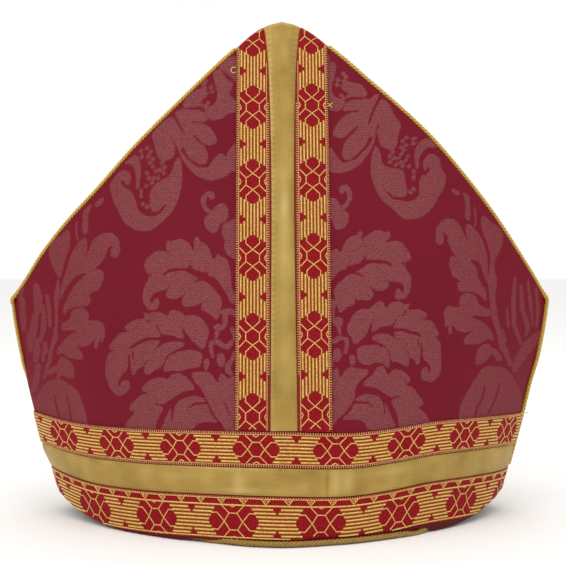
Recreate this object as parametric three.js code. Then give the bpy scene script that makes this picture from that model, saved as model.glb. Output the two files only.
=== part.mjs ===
// Bishop's mitre: two stiff damask shields seamed at the sides, gold and red orphreys, twisted cord.
// Millimetres, +Z up. The origin is on the floor under the middle of the rim; the front faces -Y.

import * as THREE from 'three';

// Overall form
const rimHalfWidth = 122;
const shoulderHalfWidth = 149.8;
const shoulderHeight = 120;
const rimHalfDepth = 88;
const peakHalfDepth = 26;
const peakHeight = 271;
const flareCurve = 1.3;
const leanCurve = 1.25;

// Section: a pointed lens at the shoulders, opening to an oval at the rim
const lens = { curve: 2.05, power: 1 };
const oval = { curve: 1.55, power: 0.65 };
const ovalHeight = 100;
const tipShare = 0.97;

// Walls and gaps
const wallThickness = 2.6;
const gussetThickness = 1.2;
const braidThickness = 1.1;
const ribbonThickness = 0.7;
const clearance = 0.3;

// Orphreys: woven braids with a satin ribbon between them
const braidWidth = 17.6;
const ribbonHalfWidth = 6.9;
const uprightOuter = ribbonHalfWidth + braidWidth + clearance / 2;
const bandTop = 56.2;
const lowerBraidTop = 24.4;

// Twisted cords
const cordDiameter = 2.5;
const rimCordDiameter = 3;
const cordSides = 8;
const cordStop = 0.9;
const rimCordClosing = 8;

// Rim: flat in front and behind, lifted towards the side seams. The hem lifts and the cord tucks in
// under it at these shares of the half-width, further out on the right.
const rimLift = 12;
const rimFoot = 0.3;
const rimFlatShare = 0.6;
const rimCurve = 2.6;
const cordTuck = {
  left: { hem: [0.24, 0.34], cord: [0.34, 0.44], braid: [0.44, 0.52] },
  right: { hem: [0.5, 0.6], cord: [0.6, 0.72], braid: [0.72, 0.8] },
};

// Free edges of a shield, left and right of the peak: share of the rise above the shoulders
// against the share of the half-width
const freeEdge = [
  { half: 0, left: 1, right: 1 },
  { half: 0.065, left: 0.98, right: 0.982 },
  { half: 0.18, left: 0.887, right: 0.9 },
  { half: 0.3, left: 0.772, right: 0.795 },
  { half: 0.42, left: 0.654, right: 0.694 },
  { half: 0.54, left: 0.535, right: 0.584 },
  { half: 0.66, left: 0.404, right: 0.452 },
  { half: 0.78, left: 0.281, right: 0.307 },
  { half: 0.88, left: 0.162, right: 0.17 },
  { half: 0.95, left: 0.062, right: 0.073 },
  { half: 1, left: 0, right: 0 },
];

// The sewn band isn't quite level: its sway as a share of its height, against the share of the half-width
const bandSway = [
  { place: -1, sway: 0.022 },
  { place: -0.8, sway: -0.028 },
  { place: -0.6, sway: -0.026 },
  { place: -0.35, sway: -0.005 },
  { place: 0, sway: 0 },
  { place: 0.22, sway: -0.021 },
  { place: 0.42, sway: -0.002 },
  { place: 0.58, sway: 0.029 },
  { place: 0.78, sway: 0.021 },
  { place: 1, sway: -0.01 },
];

// The upright ribbon widens under the peak: its half-width as a share of the plain one
const ribbonSpread = [
  { rise: 0, spread: 1 },
  { rise: 0.76, spread: 0.95 },
  { rise: 0.9, spread: 1.15 },
  { rise: 1, spread: 1.5 },
];

// Soft upright creases of a stored mitre: place and breadth as shares of the half-width,
// swell as a share of the rim's half-depth
const creases = [
  { place: 0.29, breadth: 0.09, swell: 0.014 },
  { place: 0.17, breadth: 0.05, swell: -0.008 },
  { place: -0.46, breadth: 0.12, swell: 0.01 },
];
const creaseAtRim = 0.4;
const creaseFade = 4;

// Grid steps. Columns are closer together towards the side seams.
const columnCrowding = 0.4;
const shieldSteps = { across: 36, up: 13 };
const uprightSteps = { across: 2, up: 16, turn: 3 };
const bandSteps = { across: 36, up: 1 };
const hoopSteps = { halfTurn: 36, corner: 3 };
const gussetSteps = { across: 22, fold: 10 };
const cordSteps = { edge: 26, seam: 12, rim: 64 };
const settleSteps = 12;

// Gusset: a cloth valley folded down between the peaks
const valleyHeight = 122;
const valleyRise = 5;
const valleyCurve = 1.3;
const gussetReach = 0.975;
const gussetTuck = 1.5;

const colours = { damask: 0x7f1f30, braid: 0xa8452c, satin: 0xb59a50, cord: 0xb8902f, cloth: 0x6e1a28 };

// Value of a table column at a place, by a smooth monotone curve through its rows
function readTable(rows, from, to, place) {
  const last = rows.length - 1;
  let k = 0;
  while (k < last - 1 && place > rows[k + 1][from]) k += 1;
  const slope = (i) => (rows[i + 1][to] - rows[i][to]) / (rows[i + 1][from] - rows[i][from]);
  const tangent = (i) => {
    if (i === 0) return slope(0);
    if (i === last) return slope(last - 1);
    return (slope(i - 1) + slope(i)) / 2;
  };
  const span = rows[k + 1][from] - rows[k][from];
  const s = THREE.MathUtils.clamp((place - rows[k][from]) / span, 0, 1);
  const rise = s * s * (3 - 2 * s);
  const start = s * (1 - s) * (1 - s) * span * tangent(k);
  const end = s * s * (s - 1) * span * tangent(k + 1);
  return rows[k][to] * (1 - rise) + rows[k + 1][to] * rise + start + end;
}

// Form of the shields. A place on one is its share of the half-width, -1 to 1, and its height.

function halfWidth(z) {
  const below = Math.max(0, 1 - z / shoulderHeight);
  return shoulderHalfWidth - (shoulderHalfWidth - rimHalfWidth) * below ** flareCurve;
}

function halfDepth(z) {
  const up = THREE.MathUtils.clamp(z / peakHeight, 0, 1);
  return rimHalfDepth - (rimHalfDepth - peakHalfDepth) * up ** leanCurve;
}

function freeEdgeHeight(share) {
  const side = share < 0 ? 'left' : 'right';
  const rise = readTable(freeEdge, 'half', side, Math.min(1, Math.abs(share)));
  return shoulderHeight + (peakHeight - shoulderHeight) * rise;
}

// Share of the half-width at a column
function columnShare(column, columns) {
  const even = (2 * column) / columns - 1;
  return THREE.MathUtils.lerp(even, Math.sin((even * Math.PI) / 2), columnCrowding);
}

function creaseSwell(share, z) {
  const up = THREE.MathUtils.lerp(creaseAtRim, 1, Math.min(1, z / bandTop));
  let swell = 0;
  for (const crease of creases) {
    const off = (share - crease.place) / crease.breadth;
    swell += crease.swell * rimHalfDepth * Math.exp(-off * off);
  }
  return swell * up * (1 - share ** creaseFade);
}

function sectionAt(z) {
  const open = Math.max(0, 1 - z / ovalHeight);
  return {
    curve: THREE.MathUtils.lerp(lens.curve, oval.curve, open),
    power: THREE.MathUtils.lerp(lens.power, oval.power, open),
  };
}

// Point on the shield, a given depth inside its outer face
function shieldPoint(share, z, inset = 0) {
  const depth = halfDepth(z);
  const width = halfWidth(z);
  const { curve, power } = sectionAt(z);
  const tipFall = curve * power * tipShare ** (curve - 1) * (1 - tipShare ** curve) ** (power - 1);
  const tipSlope = (tipFall * depth) / width;
  const tipInset = (inset * Math.hypot(1, tipSlope)) / tipSlope;
  const x = share * (width - tipInset);
  const belly = Math.max(0, 1 - Math.abs(share) ** curve) ** power;
  const y = -(clearance / 2 + (depth - inset) * belly + creaseSwell(share, z) * belly);
  return new THREE.Vector3(x, y, z);
}

function shieldNormal(share, z) {
  const step = 0.01;
  const s = THREE.MathUtils.clamp(share, step - 1, 1 - step);
  const across = shieldPoint(s + step, z).sub(shieldPoint(s - step, z));
  const up = shieldPoint(s, z + step).sub(shieldPoint(s, z - step));
  return across.cross(up).normalize();
}

// Outward direction of the free edge, square to the edge and lying in the shield
function freeEdgeOut(share) {
  const step = 0.01;
  const right = Math.min(1, share + step);
  const left = Math.max(-1, share - step);
  const along = shieldPoint(right, freeEdgeHeight(right)).sub(shieldPoint(left, freeEdgeHeight(left)));
  return shieldNormal(share, freeEdgeHeight(share)).cross(along).normalize();
}

// Height of a line of the band that is level at the middle
function bandLine(height, share) {
  return height + bandTop * readTable(bandSway, 'place', 'sway', share);
}

// Rim lines. The cord runs outside the hem in front and behind, and tucks in under it at the sides.

function tuck(share, part) {
  const [start, end] = cordTuck[share < 0 ? 'left' : 'right'][part];
  return THREE.MathUtils.smoothstep(Math.abs(share), start, end);
}

function rimRise(share) {
  const side = Math.max(0, (Math.abs(share) - rimFlatShare) / (1 - rimFlatShare));
  return rimFoot + rimLift * side ** rimCurve;
}

function hemHeight(share) {
  return (rimRise(share) + rimCordDiameter + clearance) * tuck(share, 'hem');
}

function lowerBraidEdge(share) {
  return rimRise(share) + (rimCordDiameter + clearance) * (1 - tuck(share, 'braid'));
}

// Closed body from an inner and an outer grid; place(i, j, side) gives the points, side 0 is inner
function thickSheet(across, up, place, loop = false) {
  const positions = [];
  const index = [];
  const columns = loop ? across : across + 1;
  const at = (i, j, side) => (side * (up + 1) + j) * columns + (i % columns);
  for (let side = 0; side < 2; side += 1) {
    for (let j = 0; j <= up; j += 1) {
      for (let i = 0; i < columns; i += 1) positions.push(...place(i, j, side).toArray());
    }
  }
  const quad = (a, b, c, d) => index.push(a, b, c, a, c, d);
  for (let i = 0; i < across; i += 1) {
    for (let j = 0; j < up; j += 1) {
      quad(at(i, j, 1), at(i + 1, j, 1), at(i + 1, j + 1, 1), at(i, j + 1, 1));
      quad(at(i, j, 0), at(i, j + 1, 0), at(i + 1, j + 1, 0), at(i + 1, j, 0));
    }
    quad(at(i, 0, 0), at(i + 1, 0, 0), at(i + 1, 0, 1), at(i, 0, 1));
    quad(at(i, up, 1), at(i + 1, up, 1), at(i + 1, up, 0), at(i, up, 0));
  }
  for (let j = 0; j < up && !loop; j += 1) {
    quad(at(0, j, 0), at(0, j, 1), at(0, j + 1, 1), at(0, j + 1, 0));
    quad(at(across, j, 1), at(across, j, 0), at(across, j + 1, 0), at(across, j + 1, 1));
  }
  const geometry = new THREE.BufferGeometry();
  geometry.setAttribute('position', new THREE.Float32BufferAttribute(positions, 3));
  geometry.setIndex(index);
  geometry.computeVertexNormals();
  return geometry;
}

function finish(kind) {
  const roughness = { damask: 0.6, braid: 0.75, satin: 0.35, cord: 0.5, cloth: 0.8 };
  const metalness = { damask: 0, braid: 0.1, satin: 0.5, cord: 0.4, cloth: 0 };
  return new THREE.MeshStandardMaterial({
    color: colours[kind],
    roughness: roughness[kind],
    metalness: metalness[kind],
  });
}

function piece(name, geometry, kind) {
  const mesh = new THREE.Mesh(geometry, finish(kind));
  mesh.name = name;
  return mesh;
}

// Damask shield
function shieldGeometry() {
  const { across, up } = shieldSteps;
  return thickSheet(across, up, (i, j, side) => {
    const share = columnShare(i, across);
    const z = THREE.MathUtils.lerp(hemHeight(share), freeEdgeHeight(share), j / up);
    return shieldPoint(share, z, side === 1 ? 0 : wallThickness);
  });
}

// Height at which a line running up the shield meets its free edge; shareAt(z) is the line
function topHeight(shareAt) {
  let top = peakHeight;
  for (let k = 0; k < settleSteps; k += 1) top = freeEdgeHeight(shareAt(top));
  return top;
}

// Upright strip from the band to the peak, turned over the top of the wall.
// inner(z) and outer(z) are its two long edges, as distances from the middle line.
function uprightGeometry(inner, outer, thickness) {
  const { across, up, turn } = uprightSteps;
  const edgeAt = (part, z) => THREE.MathUtils.lerp(inner(z), outer(z), part) / halfWidth(z);
  return thickSheet(across, up + turn, (i, j, side) => {
    const part = i / across;
    const off = clearance + side * thickness;
    const top = topHeight((z) => edgeAt(part, z));
    if (j < up) {
      const foot = bandLine(bandTop, edgeAt(part, bandTop)) + clearance;
      const z = THREE.MathUtils.lerp(foot, top, j / up);
      const share = edgeAt(part, z);
      return shieldPoint(share, z).addScaledVector(shieldNormal(share, z), off);
    }
    const share = edgeAt(part, top);
    const out = freeEdgeOut(share);
    const face = shieldNormal(share, top);
    const base = shieldPoint(share, top, ((j - up) / turn) * wallThickness);
    if (j === up) return base.addScaledVector(face, off).addScaledVector(out, off);
    return base.addScaledVector(out, off);
  });
}

function ribbonEdge(z) {
  const rise = (z - bandTop) / (peakHeight - bandTop);
  return ribbonHalfWidth * readTable(ribbonSpread, 'rise', 'spread', rise);
}

function uprights(side) {
  const near = (z) => ribbonEdge(z) + clearance / 2;
  const left = uprightGeometry(() => -uprightOuter, (z) => -near(z), braidThickness);
  const ribbon = uprightGeometry((z) => clearance / 2 - ribbonEdge(z), (z) => ribbonEdge(z) - clearance / 2,
    ribbonThickness);
  const right = uprightGeometry(near, () => uprightOuter, braidThickness);
  return [
    piece(`${side}_upright_left_braid`, left, 'braid'),
    piece(`${side}_upright_ribbon`, ribbon, 'satin'),
    piece(`${side}_upright_right_braid`, right, 'braid'),
  ];
}

// Level strip of the band between two heights, stopping short of the seam cords
function bandGeometry(low, high, thickness) {
  const { across, up } = bandSteps;
  const reach = 1 - (clearance + cordDiameter / 2) / shoulderHalfWidth;
  return thickSheet(across, up, (i, j, side) => {
    const share = reach * columnShare(i, across);
    const z = bandLine(THREE.MathUtils.lerp(low, high, j / up), share);
    const off = clearance + side * thickness;
    return shieldPoint(share, z).addScaledVector(shieldNormal(share, z), off);
  });
}

function bands(side) {
  const upperBraidFoot = bandTop - braidWidth;
  const upper = bandGeometry(upperBraidFoot, bandTop, braidThickness);
  const ribbon = bandGeometry(lowerBraidTop + clearance, upperBraidFoot - clearance, ribbonThickness);
  return [
    piece(`${side}_band_braid`, upper, 'braid'),
    piece(`${side}_band_ribbon`, ribbon, 'satin'),
  ];
}

// Lower braid: one hoop right round the rim, rounding the side seams
function hoopGeometry() {
  const { halfTurn, corner } = hoopSteps;
  const half = halfTurn + corner;
  return thickSheet(2 * half, 1, (i, j, side) => {
    const turn = i < half ? 1 : -1;
    const step = i % half;
    const off = clearance + side * braidThickness;
    const share = step <= halfTurn ? columnShare(step, halfTurn) : 1;
    const z = j === 0 ? lowerBraidEdge(share) : bandLine(lowerBraidTop, share);
    const normal = shieldNormal(share, z);
    if (step > halfTurn) {
      const tilt = Math.atan2(normal.y, normal.x) * (1 - (2 * (step - halfTurn)) / (corner + 1));
      normal.set(Math.cos(tilt), Math.sin(tilt), 0);
    }
    const point = shieldPoint(share, z).addScaledVector(normal, off);
    if (step > halfTurn) point.setY(off * normal.y);
    return new THREE.Vector3(turn * point.x, turn * point.y, z);
  }, true);
}

// Cords
function cordGeometry(points, diameter, steps) {
  const section = new THREE.Shape();
  for (let k = 0; k < cordSides; k += 1) {
    const angle = (2 * Math.PI * k) / cordSides;
    const x = (diameter / 2) * Math.cos(angle);
    const y = (diameter / 2) * Math.sin(angle);
    if (k === 0) section.moveTo(x, y);
    else section.lineTo(x, y);
  }
  return new THREE.ExtrudeGeometry(section, { steps, extrudePath: new THREE.CatmullRomCurve3(points) });
}

// Cord along a free edge, from the shoulder up to the upright braid
function edgeCord(turn) {
  const points = [];
  const out = clearance + cordDiameter / 2;
  const start = (uprightOuter + cordStop) / shoulderHalfWidth;
  const startAngle = Math.asin(start);
  for (let k = 0; k <= cordSteps.edge; k += 1) {
    const angle = THREE.MathUtils.lerp(startAngle, Math.PI / 2, k / cordSteps.edge);
    const share = turn * Math.sin(angle);
    const point = shieldPoint(share, freeEdgeHeight(share)).addScaledVector(freeEdgeOut(share), out);
    point.setY(Math.min(point.y + wallThickness / 2, -(cordDiameter + clearance) / 2));
    points.push(point);
  }
  return cordGeometry(points, cordDiameter, cordSteps.edge);
}

// Cord down a side seam, from the shoulder to the lower braid
function seamCord(turn) {
  const points = [];
  const low = bandLine(lowerBraidTop, -1) + clearance;
  const high = shoulderHeight - clearance;
  for (let k = 0; k <= cordSteps.seam; k += 1) {
    const z = THREE.MathUtils.lerp(low, high, k / cordSteps.seam);
    points.push(new THREE.Vector3(turn * (halfWidth(z) + clearance + cordDiameter / 2), 0, z));
  }
  return cordGeometry(points, cordDiameter, cordSteps.seam);
}

function rimCordPoint(share) {
  const radius = rimCordDiameter / 2;
  const under = tuck(share, 'cord');
  const off = THREE.MathUtils.lerp(clearance + radius, -clearance - radius, under);
  const hem = hemHeight(share);
  const z = THREE.MathUtils.lerp(clearance + radius, hem - clearance - radius, tuck(share, 'hem'));
  const tip = Math.abs(share) ** rimCordClosing;
  const point = shieldPoint(share, hem, off < 0 ? -off : 0);
  if (off > 0) point.addScaledVector(shieldNormal(share, hem), off);
  point.setY(point.y * (1 - tip));
  return point.setZ(z);
}

function rimCordGeometry() {
  const points = [];
  const steps = cordSteps.rim;
  for (let k = 0; k < steps; k += 1) {
    const angle = (2 * Math.PI * k) / steps;
    const turn = Math.cos(angle) >= 0 ? 1 : -1;
    const point = rimCordPoint(turn * Math.sin(angle));
    points.push(new THREE.Vector3(turn * point.x, turn * point.y, point.z));
  }
  const path = new THREE.CatmullRomCurve3(points, true);
  return new THREE.TubeGeometry(path, steps, rimCordDiameter / 2, cordSides, true);
}

// Gusset: one cloth folded down between the two free edges
function gussetGeometry() {
  const { across, fold } = gussetSteps;
  const edge = (share) => {
    const z = freeEdgeHeight(share) - gussetTuck;
    return shieldPoint(share, z, wallThickness + clearance + gussetThickness);
  };
  const middle = (share, part) => {
    const start = edge(share);
    const end = edge(-share);
    end.set(-end.x, -end.y, end.z);
    const near = start.clone().lerp(end, (part + 1) / 2);
    const low = Math.min(valleyHeight + valleyRise * (1 - share * share), start.z, end.z);
    const top = part < 0 ? start.z : end.z;
    near.z = low + (top - low) * Math.abs(part) ** valleyCurve;
    return near;
  };
  return thickSheet(across, fold, (i, j, side) => {
    const share = gussetReach * Math.sin(((2 * i) / across - 1) * Math.PI * 0.5);
    const part = (2 * j) / fold - 1;
    const step = 0.02;
    const along = middle(share + step, part).sub(middle(share - step, part));
    const over = middle(share, Math.min(1, part + step)).sub(middle(share, Math.max(-1, part - step)));
    const normal = along.cross(over).normalize();
    return middle(share, part).addScaledVector(normal, (side - 0.5) * gussetThickness);
  });
}

function shieldGroup(side) {
  const group = new THREE.Group();
  group.add(piece(`${side}_shield`, shieldGeometry(), 'damask'));
  group.add(...uprights(side));
  group.add(...bands(side));
  group.add(piece(`${side}_left_edge_cord`, edgeCord(-1), 'cord'));
  group.add(piece(`${side}_right_edge_cord`, edgeCord(1), 'cord'));
  return group;
}

const mitre = new THREE.Group();
const backShield = shieldGroup('back');
backShield.rotation.z = Math.PI;
mitre.add(shieldGroup('front'), backShield);
mitre.add(piece('lower_braid', hoopGeometry(), 'braid'));
mitre.add(piece('left_seam_cord', seamCord(-1), 'cord'));
mitre.add(piece('right_seam_cord', seamCord(1), 'cord'));
mitre.add(piece('rim_cord', rimCordGeometry(), 'cord'));
mitre.add(piece('crown_gusset', gussetGeometry(), 'cloth'));

export default mitre;
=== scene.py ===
import math
import bmesh
import bpy
import numpy as np
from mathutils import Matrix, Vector


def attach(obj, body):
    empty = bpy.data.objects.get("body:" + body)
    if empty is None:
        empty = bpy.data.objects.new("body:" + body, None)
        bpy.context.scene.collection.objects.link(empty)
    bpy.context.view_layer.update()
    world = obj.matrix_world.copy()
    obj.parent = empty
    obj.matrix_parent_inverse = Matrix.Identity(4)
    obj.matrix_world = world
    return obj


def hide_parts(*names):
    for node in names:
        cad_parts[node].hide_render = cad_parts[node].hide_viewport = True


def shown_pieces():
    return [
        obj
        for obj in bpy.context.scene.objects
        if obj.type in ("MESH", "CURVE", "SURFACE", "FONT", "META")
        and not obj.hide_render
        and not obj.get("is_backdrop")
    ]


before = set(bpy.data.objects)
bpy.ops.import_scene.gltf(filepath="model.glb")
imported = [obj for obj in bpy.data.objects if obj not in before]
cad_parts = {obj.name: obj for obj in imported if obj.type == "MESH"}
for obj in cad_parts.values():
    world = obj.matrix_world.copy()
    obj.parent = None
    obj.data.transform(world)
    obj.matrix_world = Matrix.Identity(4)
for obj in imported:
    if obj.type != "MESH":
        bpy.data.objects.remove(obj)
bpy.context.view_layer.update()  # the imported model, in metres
mm = 0.001
print("frame loaded")

# The photo's view: eye in mm, turn and tilt in radians, focal length and picture side in pixels
photo = {"eye": (-13.1, -679.9, 146.4), "turn": 0.021, "tilt": 0.025, "focal": 1195.3, "side": 566}

# The mitre's form, in mm, as its solids have it
form = {
    "rimHalfWidth": 122, "shoulderHalfWidth": 149.8, "shoulderHeight": 120,
    "rimHalfDepth": 88, "peakHalfDepth": 26, "peakHeight": 271,
    "flareCurve": 1.3, "leanCurve": 1.25,
    "wall": 2.6, "clearance": 0.3, "rimLift": 12, "rimFoot": 0.3,
    "rimFlatShare": 0.6, "rimCurve": 2.6, "rimCord": 3.0, "edgeCord": 2.5,
    "bandTop": 56.2, "braidWidth": 17.6, "lowerBraidTop": 24.4, "ribbonHalfWidth": 6.9,
}
# Its section: a pointed lens at the shoulders, opening to an oval at the rim
section = {
    "lensCurve": 2.05, "lensPower": 1.0, "ovalCurve": 1.55, "ovalPower": 0.65, "ovalHeight": 100, "tip": 0.97,
}
freeEdge = {
    "half": (0, 0.065, 0.18, 0.3, 0.42, 0.54, 0.66, 0.78, 0.88, 0.95, 1),
    "left": (1, 0.98, 0.887, 0.772, 0.654, 0.535, 0.404, 0.281, 0.162, 0.062, 0),
    "right": (1, 0.982, 0.9, 0.795, 0.694, 0.584, 0.452, 0.307, 0.17, 0.073, 0),
}
bandSway = {
    "place": (-1, -0.8, -0.6, -0.35, 0, 0.22, 0.42, 0.58, 0.78, 1),
    "sway": (0.022, -0.028, -0.026, -0.005, 0, -0.021, -0.002, 0.029, 0.021, -0.01),
}
ribbonSpread = {"rise": (0, 0.76, 0.9, 1), "spread": (1, 0.95, 1.15, 1.5)}
creases = ((0.29, 0.09, 0.014), (0.17, 0.05, -0.008), (-0.46, 0.12, 0.01))  # place, breadth, swell
cordTuck = {  # shares of the half-width, left and right
    "hem": ((0.24, 0.34), (0.5, 0.6)), "cord": ((0.12, 0.4), (0.53, 0.7)),
    "braid": ((0.36, 0.44), (0.54, 0.66)),
}
columnCrowding = 0.4
# The seams' own unevenness, in mm: a swell high up on both sides, and one lower on the left. Each rises
# between two heights, and both grow between two shares of the half-width.
seamSwell = {"high": 1.3, "highFrom": (70, 90), "left": 2.3, "leftFrom": (24, 40), "share": (0.6, 1)}
braidDrop = {"by": 1.9, "share": (-0.05, 0.3)}  # the lower braid hangs lower on the left; shares leftwards


# Form of a shield, in mm. A place on it is its share of the half-width, -1 to 1, and its height.

def readTable(places, values, at):
    places, values = np.array(places, float), np.array(values, float)
    slopes = np.diff(values) / np.diff(places)
    tangents = np.concatenate([slopes[:1], (slopes[:-1] + slopes[1:]) / 2, slopes[-1:]])
    k = np.clip(np.searchsorted(places, at, side="left") - 1, 0, len(slopes) - 1)
    span = places[k + 1] - places[k]
    s = np.clip((at - places[k]) / span, 0, 1)
    rise = s * s * (3 - 2 * s)
    bend = s * (1 - s) ** 2 * span * tangents[k] + s * s * (s - 1) * span * tangents[k + 1]
    return values[k] * (1 - rise) + values[k + 1] * rise + bend


def ramp(x, start, end):
    s = np.clip((x - start) / (end - start), 0, 1)
    return s * s * (3 - 2 * s)


def tuck(share, part):
    left, right = cordTuck[part]
    return np.where(share < 0, ramp(-share, *left), ramp(share, *right))


def columnShare(u):  # columns are closer together towards the side seams
    even = 2 * u - 1
    return even + columnCrowding * (np.sin(even * math.pi / 2) - even)


def halfWidth(z):
    below = np.maximum(0, 1 - z / form["shoulderHeight"])
    flare = form["shoulderHalfWidth"] - form["rimHalfWidth"]
    return form["shoulderHalfWidth"] - flare * below ** form["flareCurve"]


def halfDepth(z):
    up = np.clip(z / form["peakHeight"], 0, 1)
    lean = form["rimHalfDepth"] - form["peakHalfDepth"]
    return form["rimHalfDepth"] - lean * up ** form["leanCurve"]


facing = {"turn": 1}  # -1 while a back piece is made, because its left and right change places


def face(side):
    facing["turn"] = 1 if side == "front" else -1


def sideSwell(share, z):
    w = seamSwell
    above = ramp(z, *w["highFrom"])
    left = w["left"] * ramp(z, *w["leftFrom"]) * (1 - above) * (share * facing["turn"] < 0)
    return (w["high"] * above + left) * ramp(np.abs(share), *w["share"])


def freeEdgeHeight(share):
    half = np.minimum(1, np.abs(share))
    left = readTable(freeEdge["half"], freeEdge["left"], half)
    right = readTable(freeEdge["half"], freeEdge["right"], half)
    rise = np.where(share < 0, left, right)
    return form["shoulderHeight"] + (form["peakHeight"] - form["shoulderHeight"]) * rise


def creaseSwell(share, z):
    low = 0.4  # share of the swell that is left at the rim
    swell = sum(c[2] * form["rimHalfDepth"] * np.exp(-((share - c[0]) / c[1]) ** 2) for c in creases)
    return swell * (low + (1 - low) * np.minimum(1, z / form["bandTop"])) * (1 - share ** 4)


def shieldPoint(share, z, inset=0.0):
    depth, width = halfDepth(z), halfWidth(z) + sideSwell(share, z)
    open_ = np.maximum(0, 1 - z / section["ovalHeight"])
    curve = section["lensCurve"] + (section["ovalCurve"] - section["lensCurve"]) * open_
    power = section["lensPower"] + (section["ovalPower"] - section["lensPower"]) * open_
    tip = section["tip"]
    tipSlope = curve * power * tip ** (curve - 1) * (1 - tip ** curve) ** (power - 1) * depth / width
    tipInset = inset * np.hypot(1, tipSlope) / tipSlope
    belly = np.maximum(0, 1 - np.abs(share) ** curve) ** power
    y = -(form["clearance"] / 2 + (depth - inset + creaseSwell(share, z)) * belly)
    return np.stack(np.broadcast_arrays(share * (width - tipInset), y, z), -1)


def unit(v):
    return v / np.linalg.norm(v, axis=-1, keepdims=True)


def shieldNormal(share, z):
    step = 0.01
    s = np.clip(share, step - 1, 1 - step)
    across = shieldPoint(s + step, z) - shieldPoint(s - step, z)
    up = shieldPoint(s, z + step) - shieldPoint(s, z - step)
    return unit(np.cross(across, up))


def freeEdgeOut(share):  # square to the free edge, lying in the shield
    step = 0.01
    right, left = np.minimum(1, share + step), np.maximum(-1, share - step)
    along = shieldPoint(right, freeEdgeHeight(right)) - shieldPoint(left, freeEdgeHeight(left))
    return unit(np.cross(shieldNormal(share, freeEdgeHeight(share)), along))


def bandLine(height, share):
    return height + form["bandTop"] * readTable(bandSway["place"], bandSway["sway"], share)


def rimRise(share):
    side = np.maximum(0, (np.abs(share) - form["rimFlatShare"]) / (1 - form["rimFlatShare"]))
    return form["rimFoot"] + form["rimLift"] * side ** form["rimCurve"]


def hemHeight(share):
    return (rimRise(share) + form["rimCord"] + form["clearance"]) * tuck(share, "hem")


def lowerBraidEdge(share):
    bare = form["rimCord"] + form["clearance"] - braidDrop["by"] * ramp(-share, *braidDrop["share"])
    return rimRise(share) + bare * (1 - tuck(share, "braid"))


def offShield(share, z, lift):
    return shieldPoint(share, z) + shieldNormal(share, z) * np.asarray(lift)[..., None]


def toBack(points):  # the back shield is the front one turned half round
    return points * np.array((-1, -1, 1))


def inPhoto(points):  # mm to pixels of the photo
    c, s = math.cos(photo["turn"]), math.sin(photo["turn"])
    rel = points - np.array(photo["eye"])
    x = c * rel[:, 0] - s * rel[:, 1]
    y = s * rel[:, 0] + c * rel[:, 1]
    c, s = math.cos(photo["tilt"]), math.sin(photo["tilt"])
    ahead = c * y - s * rel[:, 2]
    rise = s * y + c * rel[:, 2]
    middle = photo["side"] / 2
    return np.stack([middle + photo["focal"] * x / ahead, middle - photo["focal"] * rise / ahead], -1)


# Camera
camera = bpy.data.objects.new("photoCamera", bpy.data.cameras.new("photoCamera"))
bpy.context.collection.objects.link(camera)
bpy.context.scene.camera = camera
camera.location = [v * mm for v in photo["eye"]]
lookAlong = Vector((
    math.sin(photo["turn"]) * math.cos(photo["tilt"]),
    math.cos(photo["turn"]) * math.cos(photo["tilt"]),
    -math.sin(photo["tilt"]),
))
camera.rotation_mode = "QUATERNION"
camera.rotation_quaternion = lookAlong.to_track_quat("-Z", "Y")
camera.data.sensor_width = 36
camera.data.lens = photo["focal"] * camera.data.sensor_width / photo["side"]
camera.data.clip_start = 0.01
print("camera placed")


# Materials

def hexColour(code):  # sRGB hex to linear
    parts = [int(code[k:k + 2], 16) / 255 for k in (1, 3, 5)]
    return tuple(c / 12.92 if c <= 0.04045 else ((c + 0.055) / 1.055) ** 2.4 for c in parts) + (1,)


def newMaterial(name):
    material = bpy.data.materials.new(name)
    material.use_nodes = True
    material.node_tree.nodes.clear()
    return material


def addNode(material, kind, settings=None, links=None):
    # Text in a socket is a hex colour. A linked node gives its Fac, its mixed colour or its first output.
    node = material.node_tree.nodes.new("ShaderNode" + kind)
    for key, value in (settings or {}).items():
        if isinstance(key, str) and hasattr(node, key):
            setattr(node, key, value)
        else:
            node.inputs[key].default_value = hexColour(value) if isinstance(value, str) else value
    for key, source in (links or {}).items():
        if isinstance(source, bpy.types.Node):
            mixed = source.bl_idname == "ShaderNodeMix"
            source = source.outputs[2 if mixed else "Fac" if "Fac" in source.outputs else 0]
        material.node_tree.links.new(source, node.inputs[key])
    return node


waveTurn = 0.314  # a wave texture's scale times the length of its wave

# Silk damask, woven on a satin ground: the ground is glossy bordeaux, the figure matt and paler
damaskLook = {
    "ground": "#671322", "groundLight": "#751928", "figure": "#8A494B", "figureShade": "#672D33",
    "threadSpacing": 1.1,  # mm; real threads are about 0.35 mm apart, drawn coarser so that they show
    "ragged": 0.8, "edge": 0.35, "groundRough": 0.45, "figureRough": 0.75,
    # Painted sheen: the figure is mixed towards the ground where the cloth turns away: metres from the
    # middle, and how much
    "fadeFrom": 0.06, "fadeTo": 0.145, "fade": 0.4,
}


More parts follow.
